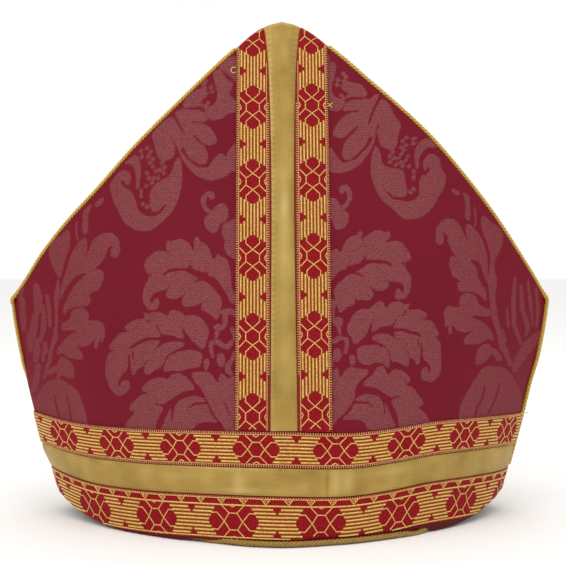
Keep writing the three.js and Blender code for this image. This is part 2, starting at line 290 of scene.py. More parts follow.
def makeDamask():
    look, m = damaskLook, newMaterial("silkDamask")
    place = addNode(m, "TexCoord").outputs["Object"]
    figure = addNode(m, "Attribute", {"attribute_name": "figure"})
    ragged = addNode(m, "TexNoise", {"Scale": 700, "Detail": 2}, {"Vector": place})
    shift = {"operation": "MULTIPLY_ADD", 1: look["ragged"], 2: -look["ragged"] / 2}
    edge = addNode(m, "Math", {"operation": "ADD"}, {0: figure, 1: addNode(m, "Math", shift, {0: ragged})})
    step = {"interpolation_type": "SMOOTHSTEP", 1: -look["edge"], 2: look["edge"]}
    mask = addNode(m, "MapRange", step, {0: edge})
    weftLook = {
        "bands_direction": "Z", "Scale": waveTurn / (look["threadSpacing"] * mm),
        "Distortion": 5, "Detail": 3, "Detail Scale": 2,
    }
    weft = addNode(m, "TexWave", weftLook, {"Vector": place})
    grain = addNode(m, "TexNoise", {"Scale": 1100, "Detail": 3}, {"Vector": place})
    weave = addNode(m, "Math", {"operation": "MULTIPLY_ADD", 1: 0.35}, {0: weft, 2: grain})
    tone = addNode(m, "MapRange", {1: 0.35, 2: 0.95}, {0: weave})
    figureMix = {"data_type": "RGBA", 6: look["figureShade"], 7: look["figure"]}
    figureColour = addNode(m, "Mix", figureMix, {0: tone})
    wash = addNode(m, "TexNoise", {"Scale": 14, "Detail": 1}, {"Vector": place})
    groundMix = {"data_type": "RGBA", 6: look["ground"], 7: look["groundLight"]}
    groundColour = addNode(m, "Mix", groundMix, {0: wash})
    # painted sheen: the figure fades into the ground colour towards both sides
    parts = addNode(m, "SeparateXYZ", {}, {0: place})
    aside = addNode(m, "Math", {"operation": "ABSOLUTE"}, {0: parts})
    faded = {1: look["fadeFrom"], 2: look["fadeTo"], 3: 1.0, 4: 1 - look["fade"]}
    fade = addNode(m, "MapRange", faded, {0: aside})
    shown = addNode(m, "Math", {"operation": "MULTIPLY"}, {0: mask, 1: fade})
    colour = addNode(m, "Mix", {"data_type": "RGBA"}, {0: shown, 6: groundColour, 7: figureColour})
    rough = addNode(m, "MapRange", {3: look["groundRough"], 4: look["figureRough"]}, {0: mask})
    relief = addNode(m, "Math", {"operation": "MULTIPLY_ADD"}, {0: weave, 1: mask, 2: mask})
    bump = addNode(m, "Bump", {"Strength": 0.35, "Distance": 0.0002}, {"Height": relief})
    shader = addNode(m, "BsdfPrincipled", {"IOR": 1.5, "Specular IOR Level": 0.05},
                     {"Base Color": colour, "Roughness": rough, "Normal": bump})
    addNode(m, "OutputMaterial", {}, {"Surface": shader})
    return m


# Plain woven bordeaux lining, matt: its weave is about 0.5 mm, drawn at 0.8
liningLook = {"low": "#64121F", "high": "#8A2432", "threadSpacing": 0.8}


def makeLining():
    m = newMaterial("plainWovenLining")
    place = addNode(m, "TexCoord").outputs["Object"]
    warp, weft = (addNode(m, "TexWave", {
        "bands_direction": way, "Scale": waveTurn / (liningLook["threadSpacing"] * mm), "Distortion": 0.8,
    }, {"Vector": place}) for way in "XZ")
    weave = addNode(m, "Math", {"operation": "MULTIPLY"}, {0: warp, 1: weft})
    colour = addNode(m, "Mix", {"data_type": "RGBA", 6: liningLook["low"], 7: liningLook["high"]}, {0: weave})
    bump = addNode(m, "Bump", {"Strength": 0.4, "Distance": 0.0002}, {"Height": weave})
    shader = addNode(m, "BsdfPrincipled", {"Roughness": 0.8, "IOR": 1.5, "Specular IOR Level": 0.15},
                     {"Base Color": colour, "Normal": bump})
    addNode(m, "OutputMaterial", {}, {"Surface": shader})
    return m


# Jacquard braid ground: red medallions on tan, with a reddish border. Chart: u in repeats, v in half-zones.
braidLook = {
    "medallion": "#7A0A14", "medallionLight": "#9C161F", "gap": "#8A3A1A",
    # hem: the braid's own red, darkened with painted shade where the lower braid turns under
    "border": "#7A1E18", "borderLight": "#932E20", "hem": "#561A1E",
    "medallionHalf": 0.301, "medallionSkirt": 0.111, "toothRise": 0.127, "toothFoot": 0.0624,
    "borderFrom": 1.03,
}


def makeBraidGround(name, borderHex, borderLightHex, hemFrom=-9.0):
    look, m = braidLook, newMaterial(name)
    place = addNode(m, "TexCoord").outputs["Object"]
    chart = addNode(m, "UVMap", {"uv_map": "chart"})
    parts = addNode(m, "SeparateXYZ", {}, {0: chart})
    along = addNode(m, "Math", {"operation": "PINGPONG", 1: 0.5}, {0: parts})  # from the nearest medallion
    across = addNode(m, "Math", {"operation": "ABSOLUTE"}, {0: parts.outputs[1]})
    slant = {"operation": "MULTIPLY_ADD", 1: look["medallionSkirt"]}
    skirt = addNode(m, "Math", slant, {0: across, 2: along})
    medallion = addNode(m, "Math", {"operation": "LESS_THAN", 1: look["medallionHalf"]}, {0: skirt})
    fromTooth = addNode(m, "Math", {"operation": "SUBTRACT", 0: 0.5}, {1: along})
    rising = {"operation": "MULTIPLY_ADD", 1: look["toothRise"], 2: -look["toothFoot"]}
    rise = addNode(m, "Math", rising, {0: across})
    tooth = addNode(m, "Math", {"operation": "LESS_THAN"}, {0: fromTooth, 1: rise})
    red = addNode(m, "Math", {"operation": "MAXIMUM"}, {0: medallion, 1: tooth})
    grain = addNode(m, "TexNoise", {"Scale": 1400, "Detail": 2}, {"Vector": place})
    tone = addNode(m, "MapRange", {1: 0.4, 2: 0.75}, {0: grain})
    redMix = {"data_type": "RGBA", 6: look["medallion"], 7: look["medallionLight"]}
    redColour = addNode(m, "Mix", redMix, {0: tone})
    zone = addNode(m, "Mix", {"data_type": "RGBA", 6: look["gap"]}, {0: red, 7: redColour})
    borderColour = addNode(m, "Mix", {"data_type": "RGBA", 6: borderHex, 7: borderLightHex}, {0: tone})
    border = addNode(m, "Math", {"operation": "GREATER_THAN", 1: look["borderFrom"]}, {0: across})
    colour = addNode(m, "Mix", {"data_type": "RGBA"}, {0: border, 6: zone, 7: borderColour})
    # painted shade on the hem, where the braid's edge turns under
    hem = addNode(m, "Math", {"operation": "LESS_THAN", 1: hemFrom}, {0: parts.outputs[1]})
    withHemShade = addNode(m, "Mix", {"data_type": "RGBA", 7: look["hem"]}, {0: hem, 6: colour})
    bump = addNode(m, "Bump", {"Strength": 0.5, "Distance": 0.0002}, {"Height": grain})
    shader = addNode(m, "BsdfPrincipled", {"Roughness": 0.6, "IOR": 1.5, "Specular IOR Level": 0.08},
                     {"Base Color": withHemShade, "Normal": bump})
    addNode(m, "OutputMaterial", {}, {"Surface": shader})
    return m


# Gold rayon and metal thread: each thread catches the light, with darker twist between
def makeThread(name, lightHex, darkHex, roughness, metallic, size):
    m = newMaterial(name)
    place = addNode(m, "TexCoord").outputs["Object"]
    twist = addNode(m, "TexNoise", {"Scale": 1 / (size * mm), "Detail": 3}, {"Vector": place})
    tone = addNode(m, "MapRange", {1: 0.3, 2: 0.65}, {0: twist})
    colour = addNode(m, "Mix", {"data_type": "RGBA", 6: darkHex, 7: lightHex}, {0: tone})
    bump = addNode(m, "Bump", {"Strength": 0.6, "Distance": 0.0002}, {"Height": twist})
    shader = addNode(m, "BsdfPrincipled", {"Roughness": roughness, "Metallic": metallic},
                     {"Base Color": colour, "Normal": bump})
    addNode(m, "OutputMaterial", {}, {"Surface": shader})
    return m


# Gold satin ribbon: long floats give a soft streak of light across the weave
satinLook = {
    # The last two colours are a painted highlight and a painted shade for the creases
    "colour": "#92732A", "light": "#AF8F41", "shine": "#DCC27C", "crease": "#6E5420",
    "floatLength": 9, "floatWidth": 0.7,  # mm
}


def makeSatin():
    look, m = satinLook, newMaterial("goldSatin")
    chart = addNode(m, "UVMap", {"uv_map": "chart"})
    floatScale = (1 / look["floatLength"], 1 / look["floatWidth"], 1)
    stretch = addNode(m, "Mapping", {"Scale": floatScale}, {"Vector": chart})
    floats = addNode(m, "TexNoise", {"Scale": 1, "Detail": 3}, {"Vector": stretch})
    wash = addNode(m, "TexNoise", {"Scale": 0.06, "Detail": 1}, {"Vector": chart})
    blend = addNode(m, "Math", {"operation": "MULTIPLY_ADD", 1: 0.5}, {0: floats, 2: wash})
    tone = addNode(m, "MapRange", {1: 0.5, 2: 1.0}, {0: blend})
    colour = addNode(m, "Mix", {"data_type": "RGBA", 6: look["colour"], 7: look["light"]}, {0: tone})
    # painted highlights and painted crease shade, read from a per-vertex attribute
    paintedShineShade = addNode(m, "Attribute", {"attribute_name": "paintedShineShade"})
    highlighted = addNode(m, "Mix", {"data_type": "RGBA", 7: look["shine"]}, {0: paintedShineShade, 6: colour})
    shadeAmount = addNode(m, "Math", {"operation": "MULTIPLY", 1: -1.0}, {0: paintedShineShade})
    creased = addNode(m, "Mix", {"data_type": "RGBA", 7: look["crease"]}, {0: shadeAmount, 6: highlighted})
    bump = addNode(m, "Bump", {"Strength": 0.25, "Distance": 0.0001}, {"Height": floats})
    shader = addNode(m, "BsdfPrincipled", {"Roughness": 0.4, "Metallic": 0.35, "Anisotropic": 0.5},
                     {"Base Color": creased, "Normal": bump})
    addNode(m, "OutputMaterial", {}, {"Surface": shader})
    return m


materials = {
    "damask": makeDamask(),
    "lining": makeLining(),
    "braid": makeBraidGround("jacquardBraid", braidLook["border"], braidLook["borderLight"]),
    "lowerBraid": makeBraidGround(
        "jacquardFringedBraid", braidLook["medallion"], braidLook["medallionLight"], hemFrom=-1.07),
    "stripe": makeThread("goldRayonThread", "#E4C46C", "#B98634", 0.42, 0.25, 0.8),
    "tick": makeThread("roseRayonThread", "#DDB476", "#B9824A", 0.5, 0.1, 0.8),
    "cord": makeThread("twistedGoldCord", "#D8B04A", "#9C7420", 0.4, 0.45, 0.5),
    # the rim cord's gold is darkened with painted shade, for the shadow along the rim
    "rimCord": makeThread("shadedRimGoldCord", "#B08A40", "#6E5020", 0.5, 0.3, 0.5),
    "satin": makeSatin(),
}
print("materials made")


# Mesh helpers

def dress(mesh, finishes, nodes=(), side="front"):
    if side == "back":  # half a turn about the upright axis
        bm = bmesh.new()
        bm.from_mesh(mesh)
        bmesh.ops.scale(bm, vec=(-1, -1, 1), verts=bm.verts[:])
        bm.to_mesh(mesh)
        bm.free()
    piece = bpy.data.objects.new(mesh.name, mesh)
    bpy.context.collection.objects.link(piece)
    for finish in finishes:
        mesh.materials.append(materials[finish])
    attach(piece, "root")
    if nodes:
        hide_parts(*nodes)
    return piece


def closedSheet(name, across, up, place, cuts=0, loop=False, figure=None, paintedShineShade=None):
    # A grid with a wall: place(u, v, side) gives points in mm and the chart; side 0 is the back, 1 the face
    bm = bmesh.new()
    bmesh.ops.create_grid(bm, x_segments=across, y_segments=up, size=0.5)
    wall = bmesh.ops.extrude_face_region(bm, geom=bm.faces[:], use_keep_orig=True)["geom"]
    bmesh.ops.translate(bm, vec=(0, 0, 1), verts=[g for g in wall if isinstance(g, bmesh.types.BMVert)])
    if loop:
        ends = [f for f in bm.faces if all(abs(v.co.x) > 0.4999 for v in f.verts) and abs(f.normal.x) > 0.5]
        bmesh.ops.delete(bm, geom=ends, context="FACES_ONLY")
    if cuts:
        face = [e for e in bm.edges if all(v.co.z > 0.5 for v in e.verts)]
        bmesh.ops.subdivide_edges(bm, edges=face, cuts=cuts, use_grid_fill=True)
    mesh = bpy.data.meshes.new(name)
    bm.to_mesh(mesh)
    bm.free()
    grid = np.empty(len(mesh.vertices) * 3)
    mesh.vertices.foreach_get("co", grid)
    grid = grid.reshape(-1, 3)
    side = grid[:, 2]
    points, chart = place(grid[:, 0] + 0.5, grid[:, 1] + 0.5, side)
    mesh.vertices.foreach_set("co", (points * mm).ravel())
    corner = np.empty(len(mesh.loops), int)
    mesh.loops.foreach_get("vertex_index", corner)
    mesh.uv_layers.new(name="chart").data.foreach_set("uv", chart[corner].ravel())
    # per-vertex painted highlight (positive) and painted crease shade (negative)
    if paintedShineShade is not None:
        shine = mesh.attributes.new("paintedShineShade", "FLOAT", "POINT")
        shine.data.foreach_set("value", paintedShineShade(chart[:, 0], chart[:, 1]))
    if figure is not None:
        plain = -10.0  # mm outside the figure, for the lining
        values = np.where(side > 0.5, figure(points), plain)
        mesh.attributes.new("figure", "FLOAT", "POINT").data.foreach_set("value", values)
        lined = np.array([all(side[v] < 0.5 for v in f.vertices) for f in mesh.polygons])
        mesh.polygons.foreach_set("material_index", lined.astype(int))
    bm = bmesh.new()
    bm.from_mesh(mesh)
    bmesh.ops.remove_doubles(bm, verts=bm.verts[:], dist=0.01 * mm)
    bmesh.ops.recalc_face_normals(bm, faces=bm.faces[:])
    bm.to_mesh(mesh)
    bm.free()
    mesh.shade_smooth()
    mesh.set_sharp_from_angle(angle=math.radians(50))
    return mesh


def threadMesh(name, threads, roundness=1):
    # One mesh from many threads; each is its points in mm and its radius in mm
    curve = bpy.data.curves.new(name, "CURVE")
    curve.dimensions = "3D"
    curve.bevel_depth = mm
    curve.bevel_resolution = roundness
    curve.use_fill_caps = True
    for points, radius in threads:
        spline = curve.splines.new("POLY")
        spline.points.add(len(points) - 1)
        spline.points.foreach_set("co", np.column_stack([points * mm, np.ones(len(points))]).ravel())
        spline.points.foreach_set("radius", np.full(len(points), radius))
    holder = bpy.data.objects.new(name, curve)
    bpy.context.collection.objects.link(holder)
    bpy.context.view_layer.update()
    mesh = bpy.data.meshes.new_from_object(holder.evaluated_get(bpy.context.evaluated_depsgraph_get()))
    bpy.data.objects.remove(holder)
    bpy.data.curves.remove(curve)
    mesh.name = name
    mesh.shade_smooth()
    return mesh


# Damask figure, charted on the left half of the photo, in pixels: outlines of its leaves as x, y, x, y
# and so on, thick strokes (x, y, radius) for its stems, small diamonds for the seeds and cuts for the veins
damaskFigure = {
    "mmPerPixel": 0.53, "far": 6,
    "leaves": (
        (219, 68, 226, 59, 238, 58, 238, 81, 230, 76, 224, 71),
        (213, 74, 216, 70, 220, 71, 224, 75, 228, 80, 233, 83, 231, 91, 229, 94, 233, 98, 238, 104, 238,
         111, 228, 114, 222, 118, 216, 120, 211, 120, 208, 116, 205, 111, 209, 107, 214, 104, 217, 99, 217,
         92, 215, 84),
        (183, 104, 187, 97, 195, 91, 201, 88.5, 206, 90, 208, 94, 205, 98, 201, 101, 200, 106, 192, 107,
         185, 107),
        (175, 112, 183, 109, 190, 110, 197, 110, 203, 112, 207, 117, 208, 120, 203, 121.5, 193, 121, 192,
         123, 203, 124, 210, 128, 214, 133, 217, 139, 216, 143, 210, 145.5, 205, 144, 200, 140, 194, 134,
         193, 136, 198, 142, 204, 147, 207, 152, 208, 159, 205, 164, 199, 164, 193, 160, 189, 157, 186, 152,
         183, 147, 181, 149, 184, 155, 188, 160, 193, 164, 198, 167, 207, 167.5, 211, 163, 215, 158, 219,
         154, 223, 154, 226, 157, 229, 150, 238, 143, 238, 168, 231, 172, 226, 176, 219, 179, 210, 180.5,
         201, 178, 193, 173, 187, 166, 182, 159, 179, 151, 175, 143, 172, 136, 171, 138, 174, 145, 175, 152,
         173, 157, 169, 159.5, 165, 161, 161, 160, 158, 157, 156, 151, 154, 143, 152, 135, 158, 127, 166,
         120, 172, 117, 177, 124, 181, 131, 184, 134, 183, 129, 178, 120),
        (178, 157, 181, 163, 182, 172, 182, 183, 180, 193, 178, 200, 175, 207, 171, 213, 166, 218, 161, 223,
         155, 228, 148, 231, 140, 231, 133, 229, 126, 224, 121, 217, 117, 209, 113, 200, 111, 192, 110, 185,
         113, 179, 118, 173, 124, 170, 129, 172, 131, 178, 130, 184, 126, 184.5, 123, 180, 121, 183, 125,
         188, 130, 190, 133, 195, 136, 202, 138, 209, 143, 214, 150, 216.5, 158, 215, 163, 210, 167, 204,
         163, 206, 159, 211, 153, 211.5, 150, 206, 149.5, 198, 151, 190, 156, 184, 162, 180, 168, 176.5,
         172, 171, 174, 164),
        (124, 164, 130, 158, 136, 155, 140, 163, 141, 172, 140, 181, 139, 188, 136, 188, 136, 178, 134, 169,
         130, 164),
        (203, 195, 207, 191.5, 213, 192, 215, 196, 213, 200, 210, 199, 208, 196.5, 206, 200, 206, 205, 209,
         209, 212, 211, 210, 213.5, 206, 212, 203, 208, 201, 203, 201, 198),
        (213, 210, 216, 206, 221, 203.5, 226, 205, 228, 210, 228, 216, 226, 221, 222, 223, 219, 226, 218,
         230, 215, 233, 210, 232, 206, 228, 204, 222, 205, 217, 209, 214),
        (223, 225, 228, 222, 238, 221, 238, 257, 229, 256, 226, 252, 224, 246, 225, 241, 222, 235, 222, 230),
        (143, 300, 143, 292, 145, 286, 148, 280, 149, 275, 146, 271, 144, 266, 146, 260, 150, 256, 155, 252,
         161, 251, 166, 252, 171, 254, 167, 250, 166, 245, 168, 240, 171, 241.5, 175, 240, 181, 239, 186,
         241, 190, 245, 193, 251, 194, 246, 194, 240, 196, 236.5, 199, 238, 200, 242, 204, 243, 208, 247,
         210, 251, 212, 256, 214, 260, 215.5, 258, 217, 254, 221, 256, 226, 259, 229, 265, 231, 275, 232,
         288, 238, 300, 238, 305, 231, 303, 227, 295, 222, 287, 217, 280, 213, 277, 209, 276, 206, 268, 204,
         264, 206, 273, 200, 271, 195, 270, 192, 267, 186, 260, 189, 267, 184, 268, 175, 268, 169, 269.5,
         165, 272, 162, 275.5, 165, 275.5, 169, 272.5, 175, 271.5, 183, 271, 188, 272.5, 194, 276, 199, 279,
         195, 280.5, 191, 284, 197, 282, 203, 281, 209, 284, 214, 289, 219, 295, 222, 301, 221, 308, 219,
         316, 217, 320, 213, 317, 208, 313, 202, 310, 201, 306, 204, 300, 199, 304.5, 193, 306, 187, 307,
         183, 305, 181.5, 301, 184, 296, 187, 291, 181, 296.5, 175, 299, 169, 298.5, 166, 295, 168, 289,
         171, 283, 166, 289.5, 160, 291.5, 154, 293.5, 151, 297, 150.5, 302, 153, 303, 155, 299, 158.5, 299,
         159, 305, 156, 309.5, 150, 310, 146, 307),
        (143, 312, 148, 314, 155, 312, 162, 313, 168, 316, 170, 311, 175, 310, 181, 312.5, 186, 316, 192,
         315, 197, 316, 202, 319, 206, 324, 209, 330, 208, 337, 206, 343, 205, 348, 201, 349, 197, 345, 192,
         341, 189, 337, 185, 331, 182, 327, 183, 334, 184, 338.5, 178, 338, 174, 336, 168, 335, 162, 334,
         159, 329, 156, 323, 158, 331, 161, 336, 158, 337.5, 150, 337.5, 143, 339, 137, 342, 132, 345, 129,
         349, 133, 348, 140, 344, 147, 341, 154, 340.5, 160, 341, 158, 345, 153, 351, 158, 347.5, 163, 344,
         170, 342, 177, 341.5, 184, 343, 184, 346, 178, 349, 172, 352, 167, 356, 164, 362, 161, 367, 156,
         370, 150, 374, 146, 374, 144, 370, 145, 365, 148, 360, 145, 362, 143, 367, 140, 368, 136, 371, 135,
         374.5, 132, 374, 131, 369, 130.5, 362, 129, 353, 128, 358, 128, 365, 127, 370, 123, 374, 120, 378,
         118.5, 384, 120, 387, 122, 381, 126, 380, 129, 382, 130, 387, 128, 391, 124, 394, 120, 396, 116,
         395, 113, 392, 110, 388, 108, 383, 106, 377, 105.5, 370, 106, 362, 108, 355, 112, 351, 116, 350,
         111, 349.5, 109, 346, 112, 342, 116, 337, 121, 333, 130, 331, 125.5, 329.5, 125, 326, 129, 323,
         134, 320, 140, 319, 145, 318),
        (164, 366, 166, 361, 169, 356, 173, 354, 176, 355, 176, 352.5, 182, 351, 190, 350, 197, 351, 202,
         354, 202, 360, 200, 366, 195, 368, 188, 369, 183, 370.5, 177, 371, 170, 371, 165, 372, 163.5, 369),
        (142, 388, 145, 384, 150, 380, 157, 378, 164, 377.5, 168, 380, 170, 376, 175, 373.5, 181, 374, 186,
         377, 191, 382, 194, 387, 194, 390, 188, 391, 181, 393, 176, 396, 172, 399, 167, 402, 162, 404.5,
         154, 403, 155, 405, 163, 407.5, 161, 413, 158, 419, 156, 425, 152, 436, 124, 436, 126, 424, 131,
         417, 135, 412.5, 130, 410, 130, 406, 133, 402, 137, 398, 142, 395, 148, 393, 143, 391),
        (160, 434, 163, 425, 165, 420, 168, 413, 171, 408, 171, 419, 173, 418, 174, 410, 177, 403, 182,
         399.5, 188, 397, 194, 396, 200, 397, 204, 399, 206, 402, 198, 402, 192, 404, 187, 410, 193, 406,
         199, 404.5, 207, 405, 210, 412, 214, 418, 217, 423, 205, 422, 196, 425, 188, 434),
        (192, 373, 199, 372, 206, 372, 211, 374, 214, 378, 218, 384, 219, 377, 221, 373, 224, 375, 229, 379,
         238, 378, 238, 424, 234, 421, 229, 411, 226, 403, 225, 398, 224.5, 404, 228, 413, 234, 424, 238,
         434, 228, 434, 222, 424, 217, 418, 213, 412, 210, 406, 207, 400, 204, 394, 201, 389, 197, 384, 193,
         379),
        (97, 237, 101, 234, 107, 233, 112, 233, 116, 236, 119, 240, 120, 245, 120, 251, 118, 256, 114, 258,
         111, 256, 111, 250, 113, 245.5, 108, 248, 107, 252, 105, 257, 102, 261, 99, 265, 94, 270.5, 99,
         269, 103, 272, 104, 277, 102, 283, 100, 288, 96, 291, 92, 292.5, 88, 297, 91, 297, 90, 301, 89,
         305, 80, 306.5, 74, 307.5, 68, 310, 65, 315, 63, 312, 64, 305, 67, 298, 71, 291, 75, 285, 80, 280,
         86, 273.5, 78, 275, 73, 279, 69, 284, 65, 290, 62, 297, 60, 300, 61, 290, 63, 281, 65, 274, 67,
         268, 69, 260, 72, 253, 75, 247, 79, 242, 84, 238, 87, 240, 87, 250, 85, 257.5, 88, 252, 91, 245,
         93, 240),
        (51, 243, 60, 236, 67, 230, 70, 233, 70, 242, 69, 250, 66, 257, 64, 265, 62, 272, 60, 278, 56, 274,
         53, 267, 50, 259, 49, 250),
        (92, 204, 89, 213, 88, 222, 88, 231, 84, 235, 82, 228, 83, 218, 84, 210),
        (104, 197, 102, 204, 97, 207, 95, 203),
        (72, 311, 77, 308.5, 83, 308, 87, 311, 89, 316, 88, 320, 94, 320, 100, 321, 104, 326, 105, 332, 104,
         338, 102, 342, 99, 340, 98, 346, 96, 349, 94, 346, 95, 340, 92, 342, 88, 345.5, 82, 347, 75, 345,
         79, 349, 82, 353, 83, 359, 76, 359, 71, 358.5, 66, 356, 61, 352.5, 58, 355, 57, 350, 61, 344, 66,
         338.5, 71, 334.5, 77, 331, 70, 330.5, 62, 330, 62, 324, 66, 322, 70, 318),
        (60, 358, 64, 357.5, 68, 360, 72, 364, 74, 370, 74, 378, 69, 378, 64, 376, 60, 371, 57, 366),
        (44, 385, 50, 381, 56, 379.5, 63, 380, 69, 384, 74, 388, 79, 393, 81, 400, 84, 407, 86, 414, 87,
         422, 89, 436, 60, 436, 30, 430, 33, 405, 36, 398, 40, 391),
        (58, 279, 60, 290, 59, 300, 58, 310, 58, 320, 57.5, 330, 58, 338, 55, 345, 53, 352, 52, 360, 49,
         368, 46, 378, 43, 378, 45, 368, 48, 358, 49, 350, 52, 340, 54, 330, 55, 320, 55, 310, 54, 300, 55,
         290),
        (219, 353, 223, 354, 225, 359, 224, 366, 220, 367, 217, 362, 217, 357),
        (204, 361, 207, 358.5, 209.5, 361, 209, 366, 207, 370, 204, 368),
    ),
    "stems": (
        ((211, 343, 2.2), (211, 350, 2), (213, 357, 1.6)),
        ((213, 342, 2), (218, 342, 2.6), (223, 346, 2.4), (228, 347, 2.4), (232, 342, 2.4)),
        ((215, 327, 2), (219, 326, 2.4), (217, 333, 2.2), (216, 337, 1.6)),
        ((224, 312, 3), (230, 311, 3), (236, 314, 3)), ((225, 316, 3), (225, 324, 2.4), (222, 329, 1.6)),
        ((232, 329, 2.2), (236, 338, 2.6)),
        ((235, 352, 2), (232, 360, 2), (228, 366, 3), (228, 371, 3), (231, 374, 2)),
        ((77, 222, 1), (76, 232, 1.1), (78, 240, 1)),
    ),
    "leftStems": (
        ((36, 286, 3), (38, 296, 4.4), (38, 308, 3.6), (36, 318, 2)),
        ((35, 316, 3), (34, 328, 4), (30, 342, 3.6), (30, 350, 2.4)),
        ((43, 306, 1.6), (44, 320, 2.6), (43, 332, 2.4), (40, 342, 1.5)),
        ((37, 340, 2.2), (37, 350, 3.6), (36, 360, 2.5)),
        ((22, 300, 3), (23, 316, 3), (24, 330, 2.4)),
        ((47, 296, 2), (49, 310, 2), (50, 326, 1.6)),
        ((45, 344, 2.2), (46, 352, 2)), ((44, 352, 2), (43, 360, 1.8)),
        ((28, 334, 1.6), (29, 340, 1.4)),
        ((38, 366, 3), (37, 376, 3.2), (34, 390, 2.4)),
        ((50, 372, 3), (56, 368, 2.6), (60, 374, 2.4), (58, 378, 1.6)),
        ((26, 268, 2), (22, 286, 2.5), (20, 300, 2)),
    ),
    "rightStems": (
        ((494, 250, 2), (490.5, 282, 2.6), (494, 316, 2.8), (502, 342, 2.6), (510.6, 365, 2.2)),
        ((515, 278, 1.4), (513.5, 299, 2.4), (514, 325, 2.4), (521, 344, 1.4)),
        ((521, 286, 1.5), (522, 308, 2.5), (528, 327, 2.5), (526, 335, 1.5)),
        ((528, 280, 1), (530, 299, 2), (533, 325, 1.2)),
        ((536, 289, 1.4), (538, 308, 2.4), (536.5, 327, 1.4)),
        ((547, 328, 3.5), (538, 337, 5), (528, 346, 5.5), (519, 360, 5), (515, 370, 2.5)),
        ((507, 308, 1), (508, 326, 1.4)), ((503, 330, 0.9), (506, 342, 1.2)),
        ((493, 350, 2.5), (499, 358, 3.4)),
    ),
    "seeds": (
        (141, 151), (147, 148), (151, 152), (148, 157), (142, 157), (153, 159), (150, 163), (153, 167),
        (162, 163), (165, 167), (160, 170), (156, 171), (147, 173), (149, 178), (154, 178), (152, 183),
        (146, 186), (141, 191), (141, 196), (143, 204), (147, 207), (164, 173), (158, 178),
        (203, 84), (206, 81), (205, 88), (211, 87), (212, 92), (208, 103), (202, 105), (206, 107),
    ),
    "seedRadius": 2.2, "seedSlope": 1.3,
    "veins": (
        ((132.5, 352), (133, 358)), ((55, 396), (56, 404), (58, 412), (62, 422)),
        ((67, 396), (69, 404), (70, 412), (72, 424)),
        ((60, 377), (66, 381)), ((150, 273), (151, 276)), ((66, 300), (71, 290)), ((147, 320), (150, 322)),
    ),
    "veinRadius": 0.9,
}

# The right half is the same figure turned over. Four numbers for each place on it: its x and y, and those of
# its twin on the left half, in pixels.
turnedPairs = (
    376, 146, 178, 157, 371, 163, 182, 172, 386, 191, 167, 204, 410, 219, 144, 231, 408, 201, 150, 216, 446,
    178, 110, 186, 432, 154, 124, 170, 430, 171, 121, 184, 416, 168, 139, 188, 438, 143, 126, 160, 386, 148,
    169, 159, 400, 130, 153, 140, 378, 125, 172, 137, 379, 101, 175, 119, 368, 125, 184, 134, 334, 134, 216,
    141, 357, 126, 194, 134.5, 343, 156, 207, 160, 358, 111, 193, 122, 351, 170, 201, 178, 341, 86, 208, 93,
    366, 98, 184, 108, 345, 185, 209, 191.5, 352, 195, 201, 200, 340, 229, 212, 232, 349, 217, 204, 221,
    360, 231, 197, 236.5, 361, 242, 193.5, 252, 389, 231, 168, 240, 384, 243, 171, 254, 396, 241, 160, 251,
    410, 256, 145, 264, 404, 263, 150, 274, 375, 261, 180, 269, 355, 268, 200, 275, 411, 281, 143, 296, 401,
    299, 151, 310, 398, 289, 157, 299, 385, 275, 171, 283, 369, 285, 186, 292, 352, 295, 204, 300, 334, 291,
    222, 301, 341, 312, 216, 319, 409, 303, 144, 312, 347, 328, 209, 331, 355, 344, 203, 349, 397, 317, 156,
    323, 393, 327, 161, 336, 422, 337, 129, 349, 405, 329.5, 145, 339, 425, 319, 127, 331, 436, 337, 112,
    350, 441, 356, 105.5, 370, 430, 382, 120, 396, 421, 377, 130, 387, 429, 370, 120, 384, 418, 364, 133,
    374, 406, 366, 148, 374, 405, 349, 148, 360, 389, 366, 164, 370, 357, 353, 202, 357, 396, 369, 157, 378,
    388, 375, 168, 380, 380, 366, 181, 374, 364, 385, 194, 389, 400, 396, 154, 403, 368, 370, 192, 373, 340,
    377, 218, 383, 364, 401, 198, 402, 422, 400, 131, 405, 428, 418, 126, 424, 447, 219, 110, 233, 436, 235,
    120, 248, 440, 245, 114, 258, 457, 257, 94, 270, 449, 265, 104, 277, 459, 291, 89, 305, 468, 240, 85,
    257, 469, 224, 84, 238, 484, 217, 67, 231, 470, 260, 86, 273.5, 466, 293, 81, 308, 460, 307, 88, 320,
    444, 315, 105, 332, 450, 335, 96, 349, 471, 316, 77, 331, 490, 317, 62, 331, 464, 344, 83, 359, 476,
    358, 74, 372, 508, 365, 46, 378, 490, 366, 58, 379.5, 461, 405, 84, 407, 485, 386, 67, 396, 499, 383,
    55, 396, 494, 280, 57, 296, 487, 280, 62, 294,
)


def closedCurve(points, cuts=3):
    p = np.array(points, float).reshape(-1, 2)
    a, b, c, d = np.roll(p, 1, 0), p, np.roll(p, -1, 0), np.roll(p, -2, 0)
    t = np.linspace(0, 1, cuts, endpoint=False)[:, None, None]
    curve = b + 0.5 * t * (c - a + t * (2 * a - 5 * b + 4 * c - d + t * (3 * (b - c) + d - a)))
    return curve.transpose(1, 0, 2).reshape(-1, 2)


